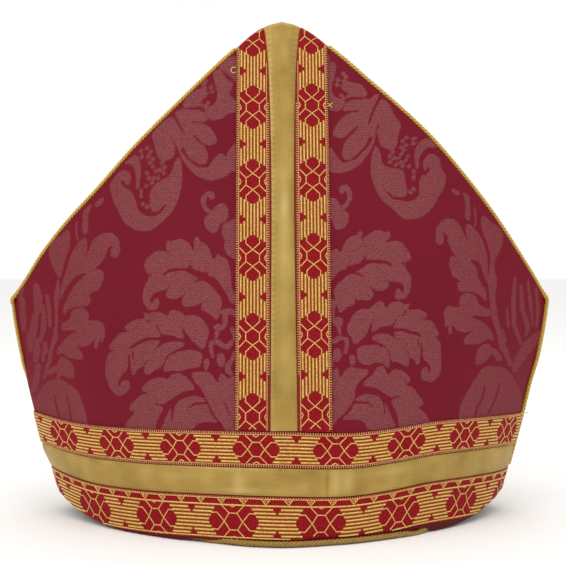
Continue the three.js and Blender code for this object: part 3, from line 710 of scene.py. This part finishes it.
def leafDistance(at, outline, best):
    line = closedCurve(outline)
    far = damaskFigure["far"]
    near = np.flatnonzero(np.all((at > line.min(0) - far) & (at < line.max(0) + far), 1))
    if not len(near):
        return best
    p = at[near]
    away, inside = np.full(len(p), 1e9), np.zeros(len(p), bool)
    for a, b in zip(line, np.roll(line, -1, 0)):
        along = b - a
        h = np.clip((p - a) @ along / max(1e-9, along @ along), 0, 1)
        away = np.minimum(away, np.hypot(*(p - a - h[:, None] * along).T))
        if a[1] != b[1]:
            crosses = (a[1] > p[:, 1]) != (b[1] > p[:, 1])
            inside ^= crosses & (p[:, 0] < a[0] + (p[:, 1] - a[1]) * along[0] / along[1])
    best[near] = np.minimum(best[near], np.where(inside, -away, away))
    return best


def strokeDistance(at, stroke, best):
    for a, b in zip(stroke[:-1], stroke[1:]):
        start, end = np.array(a[:2], float), np.array(b[:2], float)
        along = end - start
        h = np.clip((at - start) @ along / max(1e-9, along @ along), 0, 1)
        reach = a[2] + (b[2] - a[2]) * h
        best = np.minimum(best, np.linalg.norm(at - start - h[:, None] * along, axis=1) - reach)
    return best


def turnOver(at):
    pairs = np.array(turnedPairs, float).reshape(-1, 4)
    soft = 9  # square pixels over which near places share
    shift, weight = np.zeros((len(at), 2)), np.zeros(len(at))
    for x, y, leftX, leftY in pairs:
        w = 1 / ((at[:, 0] - x) ** 2 + (at[:, 1] - y) ** 2 + soft) ** 2
        shift += w[:, None] * (leftX + x, leftY - y)
        weight += w
    shift /= weight[:, None]
    return np.column_stack([shift[:, 0] - at[:, 0], at[:, 1] + shift[:, 1]])


def figureOn(points):  # mm into the figure, negative on the ground; front-shield points
    f = damaskFigure
    seen = inPhoto(points)
    right = seen[:, 0] > photo["side"] / 2
    at = np.where(right[:, None], turnOver(seen), seen)
    away = np.full(len(at), float(f["far"]))
    for outline in f["leaves"]:
        away = leafDistance(at, outline, away)
    for stroke in f["stems"]:
        away = strokeDistance(at, stroke, away)
    for stroke in f["leftStems"] + f["rightStems"]:
        away = strokeDistance(seen, stroke, away)
    for x, y in f["seeds"]:
        away = np.minimum(away, np.abs(at - (x, y)).sum(1) / f["seedSlope"] - f["seedRadius"])
    cut = np.full(len(at), float(f["far"]))
    for vein in f["veins"]:
        cut = strokeDistance(at, [(x, y, f["veinRadius"]) for x, y in vein], cut)
    return -np.maximum(away, -cut) * f["mmPerPixel"]


# The lowest rows of its grid end at lowTop, hidden under the band
shieldPiece = {"across": 40, "up": 22, "cuts": {"front": 9, "back": 6}, "lowRows": 2, "lowTop": 54}


def shieldPlace(u, v, side):
    share = columnShare(u)
    low = shieldPiece["lowRows"] / shieldPiece["up"]
    hem, top = hemHeight(share), freeEdgeHeight(share)
    lowTop = shieldPiece["lowTop"]
    z = np.where(v < low, hem + (lowTop - hem) * v / low, lowTop + (top - lowTop) * (v - low) / (1 - low))
    outer, inner = shieldPoint(share, z), shieldPoint(share, z, form["wall"])
    points = outer * side[:, None] + inner * (1 - side[:, None])
    return points, np.column_stack([points[:, 0], points[:, 2]])


def makeShield(side):
    p = shieldPiece
    mesh = closedSheet(
        side + "ShieldDamask", p["across"], p["up"], shieldPlace, cuts=p["cuts"][side], figure=figureOn)
    dress(mesh, ["damask", "lining"], [side + "_shield"], side)


for side in ("front", "back"):
    face(side)
    makeShield(side)
print("shields made")


# Braids: a woven ground with raised gold threads. Chart places are mm along and across the braid.
braidPiece = {
    "halfWidth": 8.8, "zoneHalf": 6.9, "foot": 0.3, "face": 1.25,
    "edgeLift": 0.35, "edgePower": 8,  # the face rounds down at its edges
    "threadLift": 1.13, "shortest": 0.6,
    "stripes": (0.87, 2.62, 4.37, 6.1), "stripeRadius": 0.5,
    "medallionHalf": 12.4, "medallionSlope": 0.65, "lineStretch": 1.08,
    "toothHalf": 2.7, "toothFrom": 3.4, "toothGap": 0.3,
    "lineRadius": 0.31,
    "lines": (
        ((4.0, 0), (1.7, 3.5), (-1.7, 3.5), (-4.0, 0), (-1.7, -3.5), (1.7, -3.5), (4.0, 0)),
        ((10.0, 3.4), (7.1, 3.6), (4.0, 0), (7.1, -3.6), (10.0, -3.4)),
        ((-10.0, 3.4), (-7.1, 3.6), (-4.0, 0), (-7.1, -3.6), (-10.0, -3.4)),
        ((1.7, 3.5), (5.0, 6.9)), ((1.7, -3.5), (5.0, -6.9)),
        ((-1.7, 3.5), (-5.0, 6.9)), ((-1.7, -3.5), (-5.0, -6.9)),
        ((-1.5, 6.9), (0, 6.1), (1.5, 6.9)), ((-1.5, -6.9), (0, -6.1), (1.5, -6.9)),
    ),
    "tickPitch": 1.25, "tickFrom": 7.5, "tickTo": 8.6, "tickRadius": 0.25, "tickEnds": (0.5, 0.4),
    "borderLine": 7.3, "borderRadius": 0.22,
}


def stepAlong(points, radius, step=1.6):  # more points along a chart line
    made = [points[0]]
    for a, b in zip(points[:-1], points[1:]):
        n = max(1, math.ceil(math.dist(a, b) / step))
        made += [(a[0] + (b[0] - a[0]) * k / n, a[1] + (b[1] - a[1]) * k / n) for k in range(1, n + 1)]
    return np.array(made, float), radius


def straight(start, end, t, radius):
    return stepAlong([(start, t), (end, t)], radius, 3)


def braidLines(start, end, first, repeat, scale=1.0, wide=1.0, edges=(-1, 1), rows=braidPiece["stripes"]):
    # Chart lines of one braid as (points, radius), stripes and rungs; first is a medallion's middle
    p = braidPiece
    stripes = []
    k0, k1 = math.floor((start - first) / repeat) - 1, math.ceil((end - first) / repeat) + 1
    middles = [first + k * repeat for k in range(k0, k1 + 1)]
    for a, b in zip(middles[:-1], middles[1:]):
        for t in rows:
            reach = (p["medallionHalf"] - p["medallionSlope"] * t) * scale
            spans = [(a + reach, b - reach)]
            if t > p["toothFrom"]:
                tooth = p["toothHalf"] * (t - p["toothFrom"]) / (p["zoneHalf"] - p["toothFrom"])
                tooth = (tooth + p["toothGap"]) * scale
                spans = [(a + reach, (a + b) / 2 - tooth), ((a + b) / 2 + tooth, b - reach)]
            for low, high in spans:
                low, high = max(low, start), min(high, end)
                if high - low > p["shortest"]:
                    stripes += [straight(low, high, y, p["stripeRadius"]) for y in (t * wide, -t * wide)]
    for middle in middles:
        for line in p["lines"]:
            line = [(middle + s * scale * p["lineStretch"], t * wide) for s, t in line]
            path, radius = stepAlong(line, p["lineRadius"])
            inside = (path[:, 0] > start) & (path[:, 0] < end)
            if inside.sum() > 1:
                stripes.append((path[inside], radius))
    rungs = [
        (np.array([(s, sign * p["tickFrom"]), (s, sign * p["tickTo"])]), p["tickRadius"])
        for s in np.arange(start + p["tickEnds"][0], end - p["tickEnds"][1], p["tickPitch"]) for sign in edges
    ] + [straight(start, end, sign * p["borderLine"], p["borderRadius"]) for sign in edges]
    return stripes, rungs


def braidLift(t, half, layer):
    p = braidPiece
    crown = 1 - np.clip(np.abs(t) / half, 0, 1) ** p["edgePower"]
    return p["foot"] + layer * (p["face"] - p["foot"]) * (p["edgeLift"] + (1 - p["edgeLift"]) * crown)


def dressBraid(name, mesh, lines, lay, node, side="front", ground="braid"):
    # lay(path) gives the runs of points in mm that one chart line makes on the braid
    dress(mesh, [ground], [node], side)
    for part, finish, roundness, group in (("Gold", "stripe", 1, lines[0]), ("Rungs", "tick", 0, lines[1])):
        threads = [(points, radius) for path, radius in group for points in lay(path)]
        dress(threadMesh(name + part, threads, roundness), [finish], (), side)


# Upright strips of one shield, turned over its top edge. x is the distance from the middle line.
uprightPiece = {
    "leftFirst": 63.4, "leftRepeat": 40.1, "rightFirst": 64.3, "rightRepeat": 40.2, "turnEnd": 0.7,
    "outer": form["ribbonHalfWidth"] + form["braidWidth"] + form["clearance"] / 2,
    "chartMiddle": 15.7, "narrowest": 4, "braidFoot": 0.5, "ribbonFoot": 0.4,
    "endTrim": 0.3, "innerTrim": 0.2, "beyond": 8,  # threads are charted beyond the top, then cut to length
    "braidGrid": (120, 12), "ribbonGrid": (260, 18),
}


def topAt(x):
    top = np.full(np.shape(x), float(form["peakHeight"]))
    for guess in range(12):
        top = freeEdgeHeight(x / halfWidth(top))
    return top


def uprightPoint(x, s, lift):
    x, s, lift = np.broadcast_arrays(*(np.asarray(value, float) for value in (x, s, lift)))
    half = form["wall"] / 2
    top = topAt(x) - half
    z = np.minimum(s, top)
    share = x / halfWidth(z)
    over = np.clip((s - top) / (half + lift), 0, math.pi)[..., None]
    normal = shieldNormal(share, z)
    rise = freeEdgeOut(x / halfWidth(top + half))
    turned = normal * np.cos(over) + rise * np.sin(over)
    bent = shieldPoint(share, top, half) + (half + lift[..., None]) * turned
    return np.where(s[..., None] > top[..., None], bent, shieldPoint(share, z) + normal * lift[..., None])


def ribbonEdge(z):
    rise = np.clip((z - form["bandTop"]) / (form["peakHeight"] - form["bandTop"]), 0, 1)
    return form["ribbonHalfWidth"] * readTable(ribbonSpread["rise"], ribbonSpread["spread"], rise)


def stripTop(x):
    return topAt(x) - form["wall"] / 2 + uprightPiece["turnEnd"] * math.pi * (form["wall"] / 2 + 1)


def makeUprightBraid(side, hand):
    p, q, sign = braidPiece, uprightPiece, (-1 if hand == "left" else 1)
    first, repeat, middle = q[hand + "First"], q[hand + "Repeat"], q["chartMiddle"]
    foot, end, gap = form["bandTop"] + q["braidFoot"], stripTop(middle * sign), form["clearance"] / 2

    def place(u, v, layer):
        s = foot + (end - foot) * u
        inner = np.minimum(ribbonEdge(s) + gap, q["outer"] - q["narrowest"])
        x = sign * (inner + (q["outer"] - inner) * v)
        t = np.abs(x) - middle
        share = x / halfWidth(np.minimum(s, topAt(x)))
        s = foot + (s - foot) * (stripTop(x) - foot) / (end - foot)
        s = s + (bandLine(form["bandTop"], share) - form["bandTop"]) * (1 - u)
        chart = np.column_stack([(s - first) / repeat, t / p["zoneHalf"]])
        return uprightPoint(x, s, braidLift(t, p["halfWidth"], layer)), chart

    def lay(path):
        x = sign * (middle + path[:, 1])
        inner = ribbonEdge(path[:, 0]) + gap + q["innerTrim"]
        fits = (path[:, 0] < stripTop(x) - q["endTrim"]) & (np.abs(x) > inner)
        return [uprightPoint(x[fits], path[fits, 0], p["threadLift"])] if fits.sum() > 1 else []

    name = f"{side}Upright{hand.title()}"
    mesh = closedSheet(name + "Braid", *q["braidGrid"], place)
    lines = braidLines(foot, end + q["beyond"], first, repeat)
    dressBraid(name, mesh, lines, lay, f"{side}_upright_{hand}_braid", side)


# Satin ribbons, a little full between their stitched edges. Places of painted highlight and painted crease
# shade: mm along and across, breadth each way, strength (negative for painted shade in a crease)
satinPiece = {
    "foot": 0.3, "edge": 0.25, "full": 0.75, "fullPower": 6, "thinnest": 0.2,
    "stitchPitch": 3.2, "pucker": 0.22, "puckerReach": 0.3, "stitchedFrom": 0.98,
    "uprightGloss": (
        (160, 0.5, 38, 3, 0.3), (172, 1, 7, 2, 0.25), (160, -6.3, 90, 0.6, 0.55), (95, 1, 22, 3, 0.12),
        (256, 1.5, 5, 2.5, 0.2), (243, 1, 2.2, 3, -0.3), (222, -1.5, 12, 2, -0.12), (200, 5.6, 60, 0.9, -0.2),
        (66, 0, 8, 6, -0.1),
    ),
    "bandGloss": (
        (-24, 0, 3.6, 6, 0.35), (-21, -4.5, 12, 1.6, 0.3), (-60, 2, 18, 3, 0.14), (22.6, 0, 0.8, 7, -0.6),
        (27, 0, 2.6, 7, 0.28), (34, 1, 3, 6, 0.3), (10, -2, 5, 4, 0.15), (14, 1, 3, 6, -0.15),
        (58, 3, 16, 2.2, 0.2), (46, -3, 5, 5, -0.12), (92, 1, 12, 3, -0.1),
    ),
    "backUprightGloss": ((160, 0.5, 38, 3, 0.3),), "backBandGloss": ((-60, 2, 18, 3, 0.14),),
}


def satinLift(across, along, layer):  # across is -1 to 1
    p = satinPiece
    full = p["edge"] + p["full"] * (1 - np.abs(across) ** p["fullPower"])
    near = np.exp(-((1 - np.abs(across)) / p["puckerReach"]) ** 2) * (np.abs(across) < p["stitchedFrom"])
    pucker = p["pucker"] * near * np.cos(2 * math.pi * along / p["stitchPitch"])
    return p["foot"] + layer * np.maximum(p["thinnest"], full + pucker)


def dressSatin(side, where, grid, place):
    marks = satinPiece[f"{where}Gloss" if side == "front" else f"back{where.title()}Gloss"]

    def paintedShineShade(along, across):
        return sum(
            strength * np.exp(-((along - s) / long) ** 2 - ((across - t) / wide) ** 2)
            for s, t, long, wide, strength in marks)

    mesh = closedSheet(f"{side}{where.title()}Satin", *grid, place, paintedShineShade=paintedShineShade)
    dress(mesh, ["satin"], [f"{side}_{where}_ribbon"], side)


def uprightSatinPlace(u, v, layer):
    foot, end = form["bandTop"] + uprightPiece["ribbonFoot"], stripTop(0.0)
    s = foot + (end - foot) * u
    across = 2 * v - 1
    x = across * (ribbonEdge(s) - form["clearance"] / 2)
    s = foot + (s - foot) * (stripTop(x) - foot) / (end - foot)
    return uprightPoint(x, s, satinLift(across, s, layer)), np.column_stack([s, x])


for side in ("front", "back"):
    face(side)
    dressSatin(side, "upright", uprightPiece["ribbonGrid"], uprightSatinPlace)
    for hand in ("left", "right"):
        makeUprightBraid(side, hand)
print("uprights made")


# Band: distance along it is measured on the cloth, from the middle
bandPiece = {
    "first": -14.1, "repeat": 40.6, "level": 47.4, "braidGrid": (200, 12), "ribbonGrid": (400, 16),
    "reach": 1 - 0.8 / form["shoulderHalfWidth"],  # the ends run under the seam cords
}


def alongTable(level):
    share = np.linspace(0, 1, 400)
    points = offShield(share, bandLine(level, share), np.ones(400))
    gone = np.concatenate([[0], np.cumsum(np.linalg.norm(np.diff(points, axis=0), axis=1))])
    return gone, share


bandAlong = alongTable(bandPiece["level"])
bandEnd = float(np.interp(bandPiece["reach"], bandAlong[1], bandAlong[0]))


def bandPoint(s, height, lift):
    share = np.sign(s) * np.interp(np.abs(s), *bandAlong)
    return offShield(share, bandLine(height, share), np.broadcast_to(lift, np.shape(s)))


def makeBandBraid(side):
    p, q = braidPiece, bandPiece
    middle = form["bandTop"] - p["halfWidth"]

    def place(u, v, layer):
        s, t = bandEnd * (2 * u - 1), p["halfWidth"] * (2 * v - 1)
        chart = np.column_stack([(s - q["first"]) / q["repeat"], t / p["zoneHalf"]])
        return bandPoint(s, middle + t, braidLift(t, p["halfWidth"], layer)), chart

    def lay(path):
        return [bandPoint(path[:, 0], middle + path[:, 1], p["threadLift"])]

    mesh = closedSheet(side + "BandBraid", *q["braidGrid"], place)
    lines = braidLines(-bandEnd, bandEnd, q["first"], q["repeat"])
    dressBraid(side + "Band", mesh, lines, lay, side + "_band_braid", side)


def bandSatinPlace(u, v, layer):
    low = form["lowerBraidTop"] + form["clearance"]
    high = form["bandTop"] - form["braidWidth"] - form["clearance"]
    s, across = bandEnd * (2 * u - 1), 2 * v - 1
    points = bandPoint(s, low + (high - low) * v, satinLift(across, s, layer))
    return points, np.column_stack([s, across * (high - low) / 2])


for side in ("front", "back"):
    face(side)
    makeBandBraid(side)
    dressSatin(side, "band", bandPiece["ribbonGrid"], bandSatinPlace)
face("front")
print("bands made")


# Lower braid: one hoop round the rim, wider, with a scalloped fringe along its upper edge
hoopPiece = {
    "first": 18.8, "repeat": 44.6, "level": 13.0, "middle": 12.6, "wide": 1.19, "scale": 1.085,
    "corner": 1.6, "grid": (560, 14), "stripes": (0.76, 2.3, 3.84, 5.38),
    "hemTrim": 0.4, "endTrim": 0.2,
    "borders": ((8.2, 0.42), (11.5, 0.24), (-7.75, 0.36)),  # place across and radius
    # Scallops, one in another: half-width, foot and radius, all up to the same top
    "scallops": ((2.0, 8.8, 0.32), (2.0 / 2.4, 10.1, 0.24)), "scallopTop": 11.2, "scallopsPerRepeat": 4,
    "rungFrom": 11.6, "rungTo": 12.4,
}
hoopAlong = alongTable(hoopPiece["level"])
hoopQuarter = float(hoopAlong[0][-1]) + hoopPiece["corner"]


def hoopPoint(s, below, lift):
    # s runs round from the front middle, below is down from the upper edge
    s = (s + 2 * hoopQuarter) % (4 * hoopQuarter) - 2 * hoopQuarter
    back = np.abs(s) > hoopQuarter
    local = np.where(back, s - np.sign(s) * 2 * hoopQuarter, s)
    share = np.sign(local) * np.interp(np.abs(local), *hoopAlong)
    z = bandLine(form["lowerBraidTop"], share) - below
    normal = shieldNormal(share, z)
    corner = np.clip((np.abs(local) - hoopAlong[0][-1]) / hoopPiece["corner"], 0, 1)
    lean = np.arctan2(normal[:, 1], np.abs(normal[:, 0])) * (1 - corner)
    tilted = np.stack([np.sign(local) * np.cos(lean), np.sin(lean), np.zeros(len(s))], -1)
    rounding = corner > 0
    normal = np.where(rounding[:, None], tilted, normal)
    lift = np.broadcast_to(lift, np.shape(s))
    points = shieldPoint(share, z) + normal * lift[:, None]
    points[rounding, 1] = (lift * normal[:, 1])[rounding]
    points[:, 2] = z
    return np.where(back[:, None], toBack(points), points), share


def hoopDepth(share):  # how far the braid shows below its upper edge
    return bandLine(form["lowerBraidTop"], share) - lowerBraidEdge(share)


def hoopPlace(u, v, layer):
    h = hoopPiece
    s = 4 * hoopQuarter * (u - 0.5)
    below = hoopDepth(hoopPoint(s, 0, 0)[1]) * (1 - v)
    t = (h["middle"] - below) / (braidPiece["zoneHalf"] * h["wide"])
    points = hoopPoint(s, below, braidLift(2 * v - 1, 1, layer))[0]
    return points, np.column_stack([(s - h["first"]) / h["repeat"], t])


def hoopLay(path):
    below = hoopPiece["middle"] - path[:, 1]
    points, share = hoopPoint(path[:, 0], below, braidPiece["threadLift"])
    shown = below < hoopDepth(share) - hoopPiece["hemTrim"]
    runs = np.split(np.arange(len(path)), np.flatnonzero(np.diff(shown.astype(int))) + 1)
    return [points[run] for run in runs if shown[run[0]] and len(run) > 1]


def makeLowerBraid():
    p, h = braidPiece, hoopPiece
    end = 2 * hoopQuarter - h["endTrim"]
    stripes, rungs = braidLines(-end, end, h["first"], h["repeat"], h["scale"], h["wide"], (), h["stripes"])
    stripes += [straight(-end, end, t, radius) for t, radius in h["borders"]]
    pitch, top = h["repeat"] / h["scallopsPerRepeat"], h["scallopTop"]
    for k in range(math.ceil((-end - h["first"]) / pitch), math.floor((end - h["first"]) / pitch) + 1):
        s = h["first"] + (k + 0.5) * pitch
        for half, foot, radius in h["scallops"]:
            stripes.append(stepAlong([(s - half, top), (s, foot), (s + half, top)], radius))
    for s in np.arange(p["tickEnds"][0] - end, end, p["tickPitch"]):
        rungs.append((np.array([(s, h["rungFrom"]), (s, h["rungTo"])]), p["tickRadius"]))
    mesh = closedSheet("lowerBraid", *h["grid"], hoopPlace, loop=True)
    dressBraid("lowerBraid", mesh, (stripes, rungs), hoopLay, "lower_braid", ground="lowerBraid")


makeLowerBraid()
print("lower braid made")


# Twisted cords: three strands laid round one line
cordPiece = {
    "strands": 3, "pitch": 6.5, "step": 0.6, "strandShare": 0.528, "rimStrandShare": 0.52, "sunk": 0.45,
    "fromBraid": 0.1,
    "endDown": (0.6, 2.4), "endAcross": (-1.1, -0.7),
    "endOut": 1,  # an edge cord's end turns down into the seam
    "leftSeam": 2.0, "rightSeam": 2.5,
    # The left seam cord slips in and behind the seam lower down
    "behindFrom": (-86, -72), "behindIn": 1.8, "behindBack": 0.7,
}


def cordThreads(points, diameter, share, closed):
    p = cordPiece
    gone = np.concatenate([[0], np.cumsum(np.linalg.norm(np.diff(points, axis=0), axis=1))])
    at = np.linspace(0, gone[-1], max(2, int(gone[-1] / p["step"])))
    line = np.column_stack([np.interp(at, gone, points[:, k]) for k in range(3)])
    along = unit(np.gradient(line, axis=0))
    side = unit(np.cross(along, np.array((0.0, 0.3, 1.0))))
    up = np.cross(side, along)
    turns = round(at[-1] / p["pitch"]) if closed else at[-1] / p["pitch"]
    made, strand = [], share * diameter / 2
    for k in range(p["strands"]):
        angle = 2 * math.pi * (turns * at / at[-1] + k / p["strands"])
        off = (diameter / 2 - strand) * (side * np.cos(angle)[:, None] + up * np.sin(angle)[:, None])
        made.append((line + off, strand))
    return made


def makeCord(name, node, line, diameter, side="front", share="strandShare", finish="cord", closed=False):
    mesh = threadMesh(name, cordThreads(line, diameter, cordPiece[share], closed))
    dress(mesh, [finish], [node], side)


def edgeCordLine(turnSign):
    p = cordPiece
    out = form["clearance"] + form["edgeCord"] / 2 - p["sunk"]
    start = (uprightPiece["outer"] + p["fromBraid"]) / form["shoulderHalfWidth"]
    share = turnSign * np.sin(np.linspace(math.asin(start), math.pi / 2, 120))
    points = shieldPoint(share, freeEdgeHeight(share)) + freeEdgeOut(share) * out
    points[:, 1] = np.minimum(points[:, 1] + form["wall"] / 2, -(form["edgeCord"] + form["clearance"]) / 2)
    z = form["shoulderHeight"] - np.array(p["endDown"])
    x = turnSign * (halfWidth(z) + sideSwell(turnSign, z) + p["endOut"])
    return np.vstack([points, np.column_stack([x, p["endAcross"], z])])


def seamCordLine(turnSign, thick):
    p = cordPiece
    low = float(bandLine(form["lowerBraidTop"], np.array(-1.0))) + form["clearance"]
    z = np.linspace(low, form["shoulderHeight"] - 1, 60)
    behind = ramp(-z, *p["behindFrom"]) * (turnSign < 0)
    out = form["clearance"] + thick / 2 - p["sunk"] - p["behindIn"] * behind
    x = turnSign * (halfWidth(z) + sideSwell(turnSign, z) + out)
    return np.column_stack([x, p["behindBack"] * behind, z])


def rimCordLine():
    angle = np.linspace(0, 2 * math.pi, 721)
    half = np.where(np.cos(angle) >= 0, 1, -1)
    share = half * np.sin(angle)
    away = form["clearance"] + form["rimCord"] / 2
    off = away * (1 - 2 * tuck(share, "cord"))
    hem, drop = hemHeight(share), tuck(share, "hem")
    outside = shieldPoint(share, hem) + shieldNormal(share, hem) * np.maximum(off, 0)[:, None]
    inside = shieldPoint(share, hem, np.maximum(-off, 0))
    points = np.where((off > 0)[:, None], outside, inside)
    points[:, 1] *= 1 - np.abs(share) ** 8  # its back and front halves meet at the sides
    points[:, 2] = away * (1 - drop) + (hem - away) * drop
    return points * np.column_stack([half, half, np.ones(len(half))])


for side in ("front", "back"):
    for hand, sign in (("left", -1), ("right", 1)):
        line, node = edgeCordLine(sign), f"{side}_{hand}_edge_cord"
        makeCord(f"{side}{hand.title()}EdgeCord", node, line, form["edgeCord"], side)
for hand, sign in (("left", -1), ("right", 1)):
    thick = cordPiece[hand + "Seam"]
    makeCord(hand + "SeamCord", hand + "_seam_cord", seamCordLine(sign, thick), thick)
# the rim cord takes the gold darkened with painted shade
makeCord("rimCord", "rim_cord", rimCordLine(), form["rimCord"], "front", "rimStrandShare", "rimCord", True)
print("cords made")


# Loose ends of the braids' sewing thread: a loop and two stubs, in mm from the middle and up, and a stub at
# the band's right end, in mm from that end and up
loosePiece = {
    "radius": 0.26, "loop": (-26.0, 244.6, 1.4),
    "loopTall": 1.15, "loopLift": 1.1, "stubLift": (1.2, 1.7, 1.3),
    "stubs": (((24.2, 226.2), (25.6, 225.4), (27.0, 226.4)), ((24.0, 224.6), (25.4, 224.9), (26.6, 224.0))),
    "bandStub": ((-3, 55.8), (-1.6, 56.6), (-0.3, 57.0)), "bandStubLift": (1.2, 2.6, 4.4),
}
p, around = loosePiece, np.linspace(-2.4, 2.4, 14)
x, z, size = p["loop"]
threads = [uprightPoint(x - size * np.cos(around), z + p["loopTall"] * size * np.sin(around), p["loopLift"])]
for stub in p["stubs"]:
    threads.append(uprightPoint(*np.array(stub).T, p["stubLift"]))
s, z = np.array(p["bandStub"]).T
threads.append(bandPoint(bandEnd + s, z, np.array(p["bandStubLift"])))
dress(threadMesh("looseThreads", [(points, p["radius"]) for points in threads]), ["stripe"])
print("loose threads made")


# Gusset: one cloth folded down between the two free edges
gussetPiece = {
    "valley": 122, "rise": 5, "curve": 1.3, "reach": 0.975, "tuck": 1.5, "thick": 1.0, "ripple": 0.9,
    "below": 1.2, "waves": (17, 2.5), "grid": (110, 80), "flat": (0.292, 0.304),
}


def gussetMiddle(share, part):
    g = gussetPiece

    def edge(at):
        z = freeEdgeHeight(at) - g["tuck"]
        return shieldPoint(at, z, form["wall"] + form["clearance"] + g["below"])

    start, end = edge(share), toBack(edge(-share))
    near = start + (end - start) * ((part + 1) / 2)[:, None]
    low = np.minimum(g["valley"] + g["rise"] * (1 - share ** 2), np.minimum(start[:, 2], end[:, 2]))
    top = np.where(part < 0, start[:, 2], end[:, 2])
    near[:, 2] = low + (top - low) * np.abs(part) ** g["curve"]
    return near


def gussetPlace(u, v, layer):
    g = gussetPiece
    share = g["reach"] * np.sin((2 * u - 1) * math.pi / 2)
    part, step = 2 * v - 1, 0.02
    along = gussetMiddle(share + step, part) - gussetMiddle(share - step, part)
    over = gussetMiddle(share, np.minimum(1, part + step)) - gussetMiddle(share, np.maximum(-1, part - step))
    normal = unit(np.cross(along, over))
    waves = np.sin(share * g["waves"][0] + part * g["waves"][1])
    ripple = g["ripple"] * waves * (1 - part ** 2) * (1 - share ** 2)
    points = gussetMiddle(share, part) + normal * ((layer - 0.5) * g["thick"] + ripple)[:, None]
    return points, np.column_stack([points[:, 0], part * 100])


mesh = closedSheet("crownGusset", *gussetPiece["grid"], gussetPlace)
gusset = dress(mesh, ["lining"], ["crown_gusset"])


# Floor and soft light
stageLook = {"floor": "#F4F3F1", "world": "#FFFFFF", "worldStrength": 1.0}
bm = bmesh.new()
bmesh.ops.create_grid(bm, x_segments=1, y_segments=1, size=6)
floorMesh = bpy.data.meshes.new("paleFloor")
bm.to_mesh(floorMesh)
bm.free()
floor = bpy.data.objects.new("paleFloor", floorMesh)
bpy.context.collection.objects.link(floor)
floorPaint = newMaterial("paleFloorPaint")
floorShader = addNode(floorPaint, "BsdfPrincipled", {"Base Color": stageLook["floor"], "Roughness": 0.9})
addNode(floorPaint, "OutputMaterial", {}, {"Surface": floorShader})
floorMesh.materials.append(floorPaint)
floor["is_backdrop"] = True

world = bpy.data.worlds.new("softWhite")
bpy.context.scene.world = world
world.use_nodes = True
world.node_tree.nodes["Background"].inputs[0].default_value = hexColour(stageLook["world"])
world.node_tree.nodes["Background"].inputs[1].default_value = stageLook["worldStrength"]

for name, place, size, watts in (
    ("leftSoftbox", (-0.9, -0.8, 1.1), 0.7, 3),
    ("topSoftbox", (0.1, -0.2, 1.5), 1.2, 6),
    ("rightFill", (1.1, -0.9, 0.7), 1.0, 0.4),
):
    light = bpy.data.objects.new(name, bpy.data.lights.new(name, "AREA"))
    bpy.context.collection.objects.link(light)
    light.location = place
    light.rotation_mode = "QUATERNION"
    light.rotation_quaternion = (Vector((0, 0, 0.14)) - Vector(place)).to_track_quat("-Z", "Y")
    light.data.size = size
    light.data.energy = watts
bpy.context.scene.view_settings.view_transform = "Standard"
print("stage lit")

triangles = sum(len(f.vertices) - 2 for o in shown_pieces() if o.type == "MESH" for f in o.data.polygons)
print("triangles:", triangles)
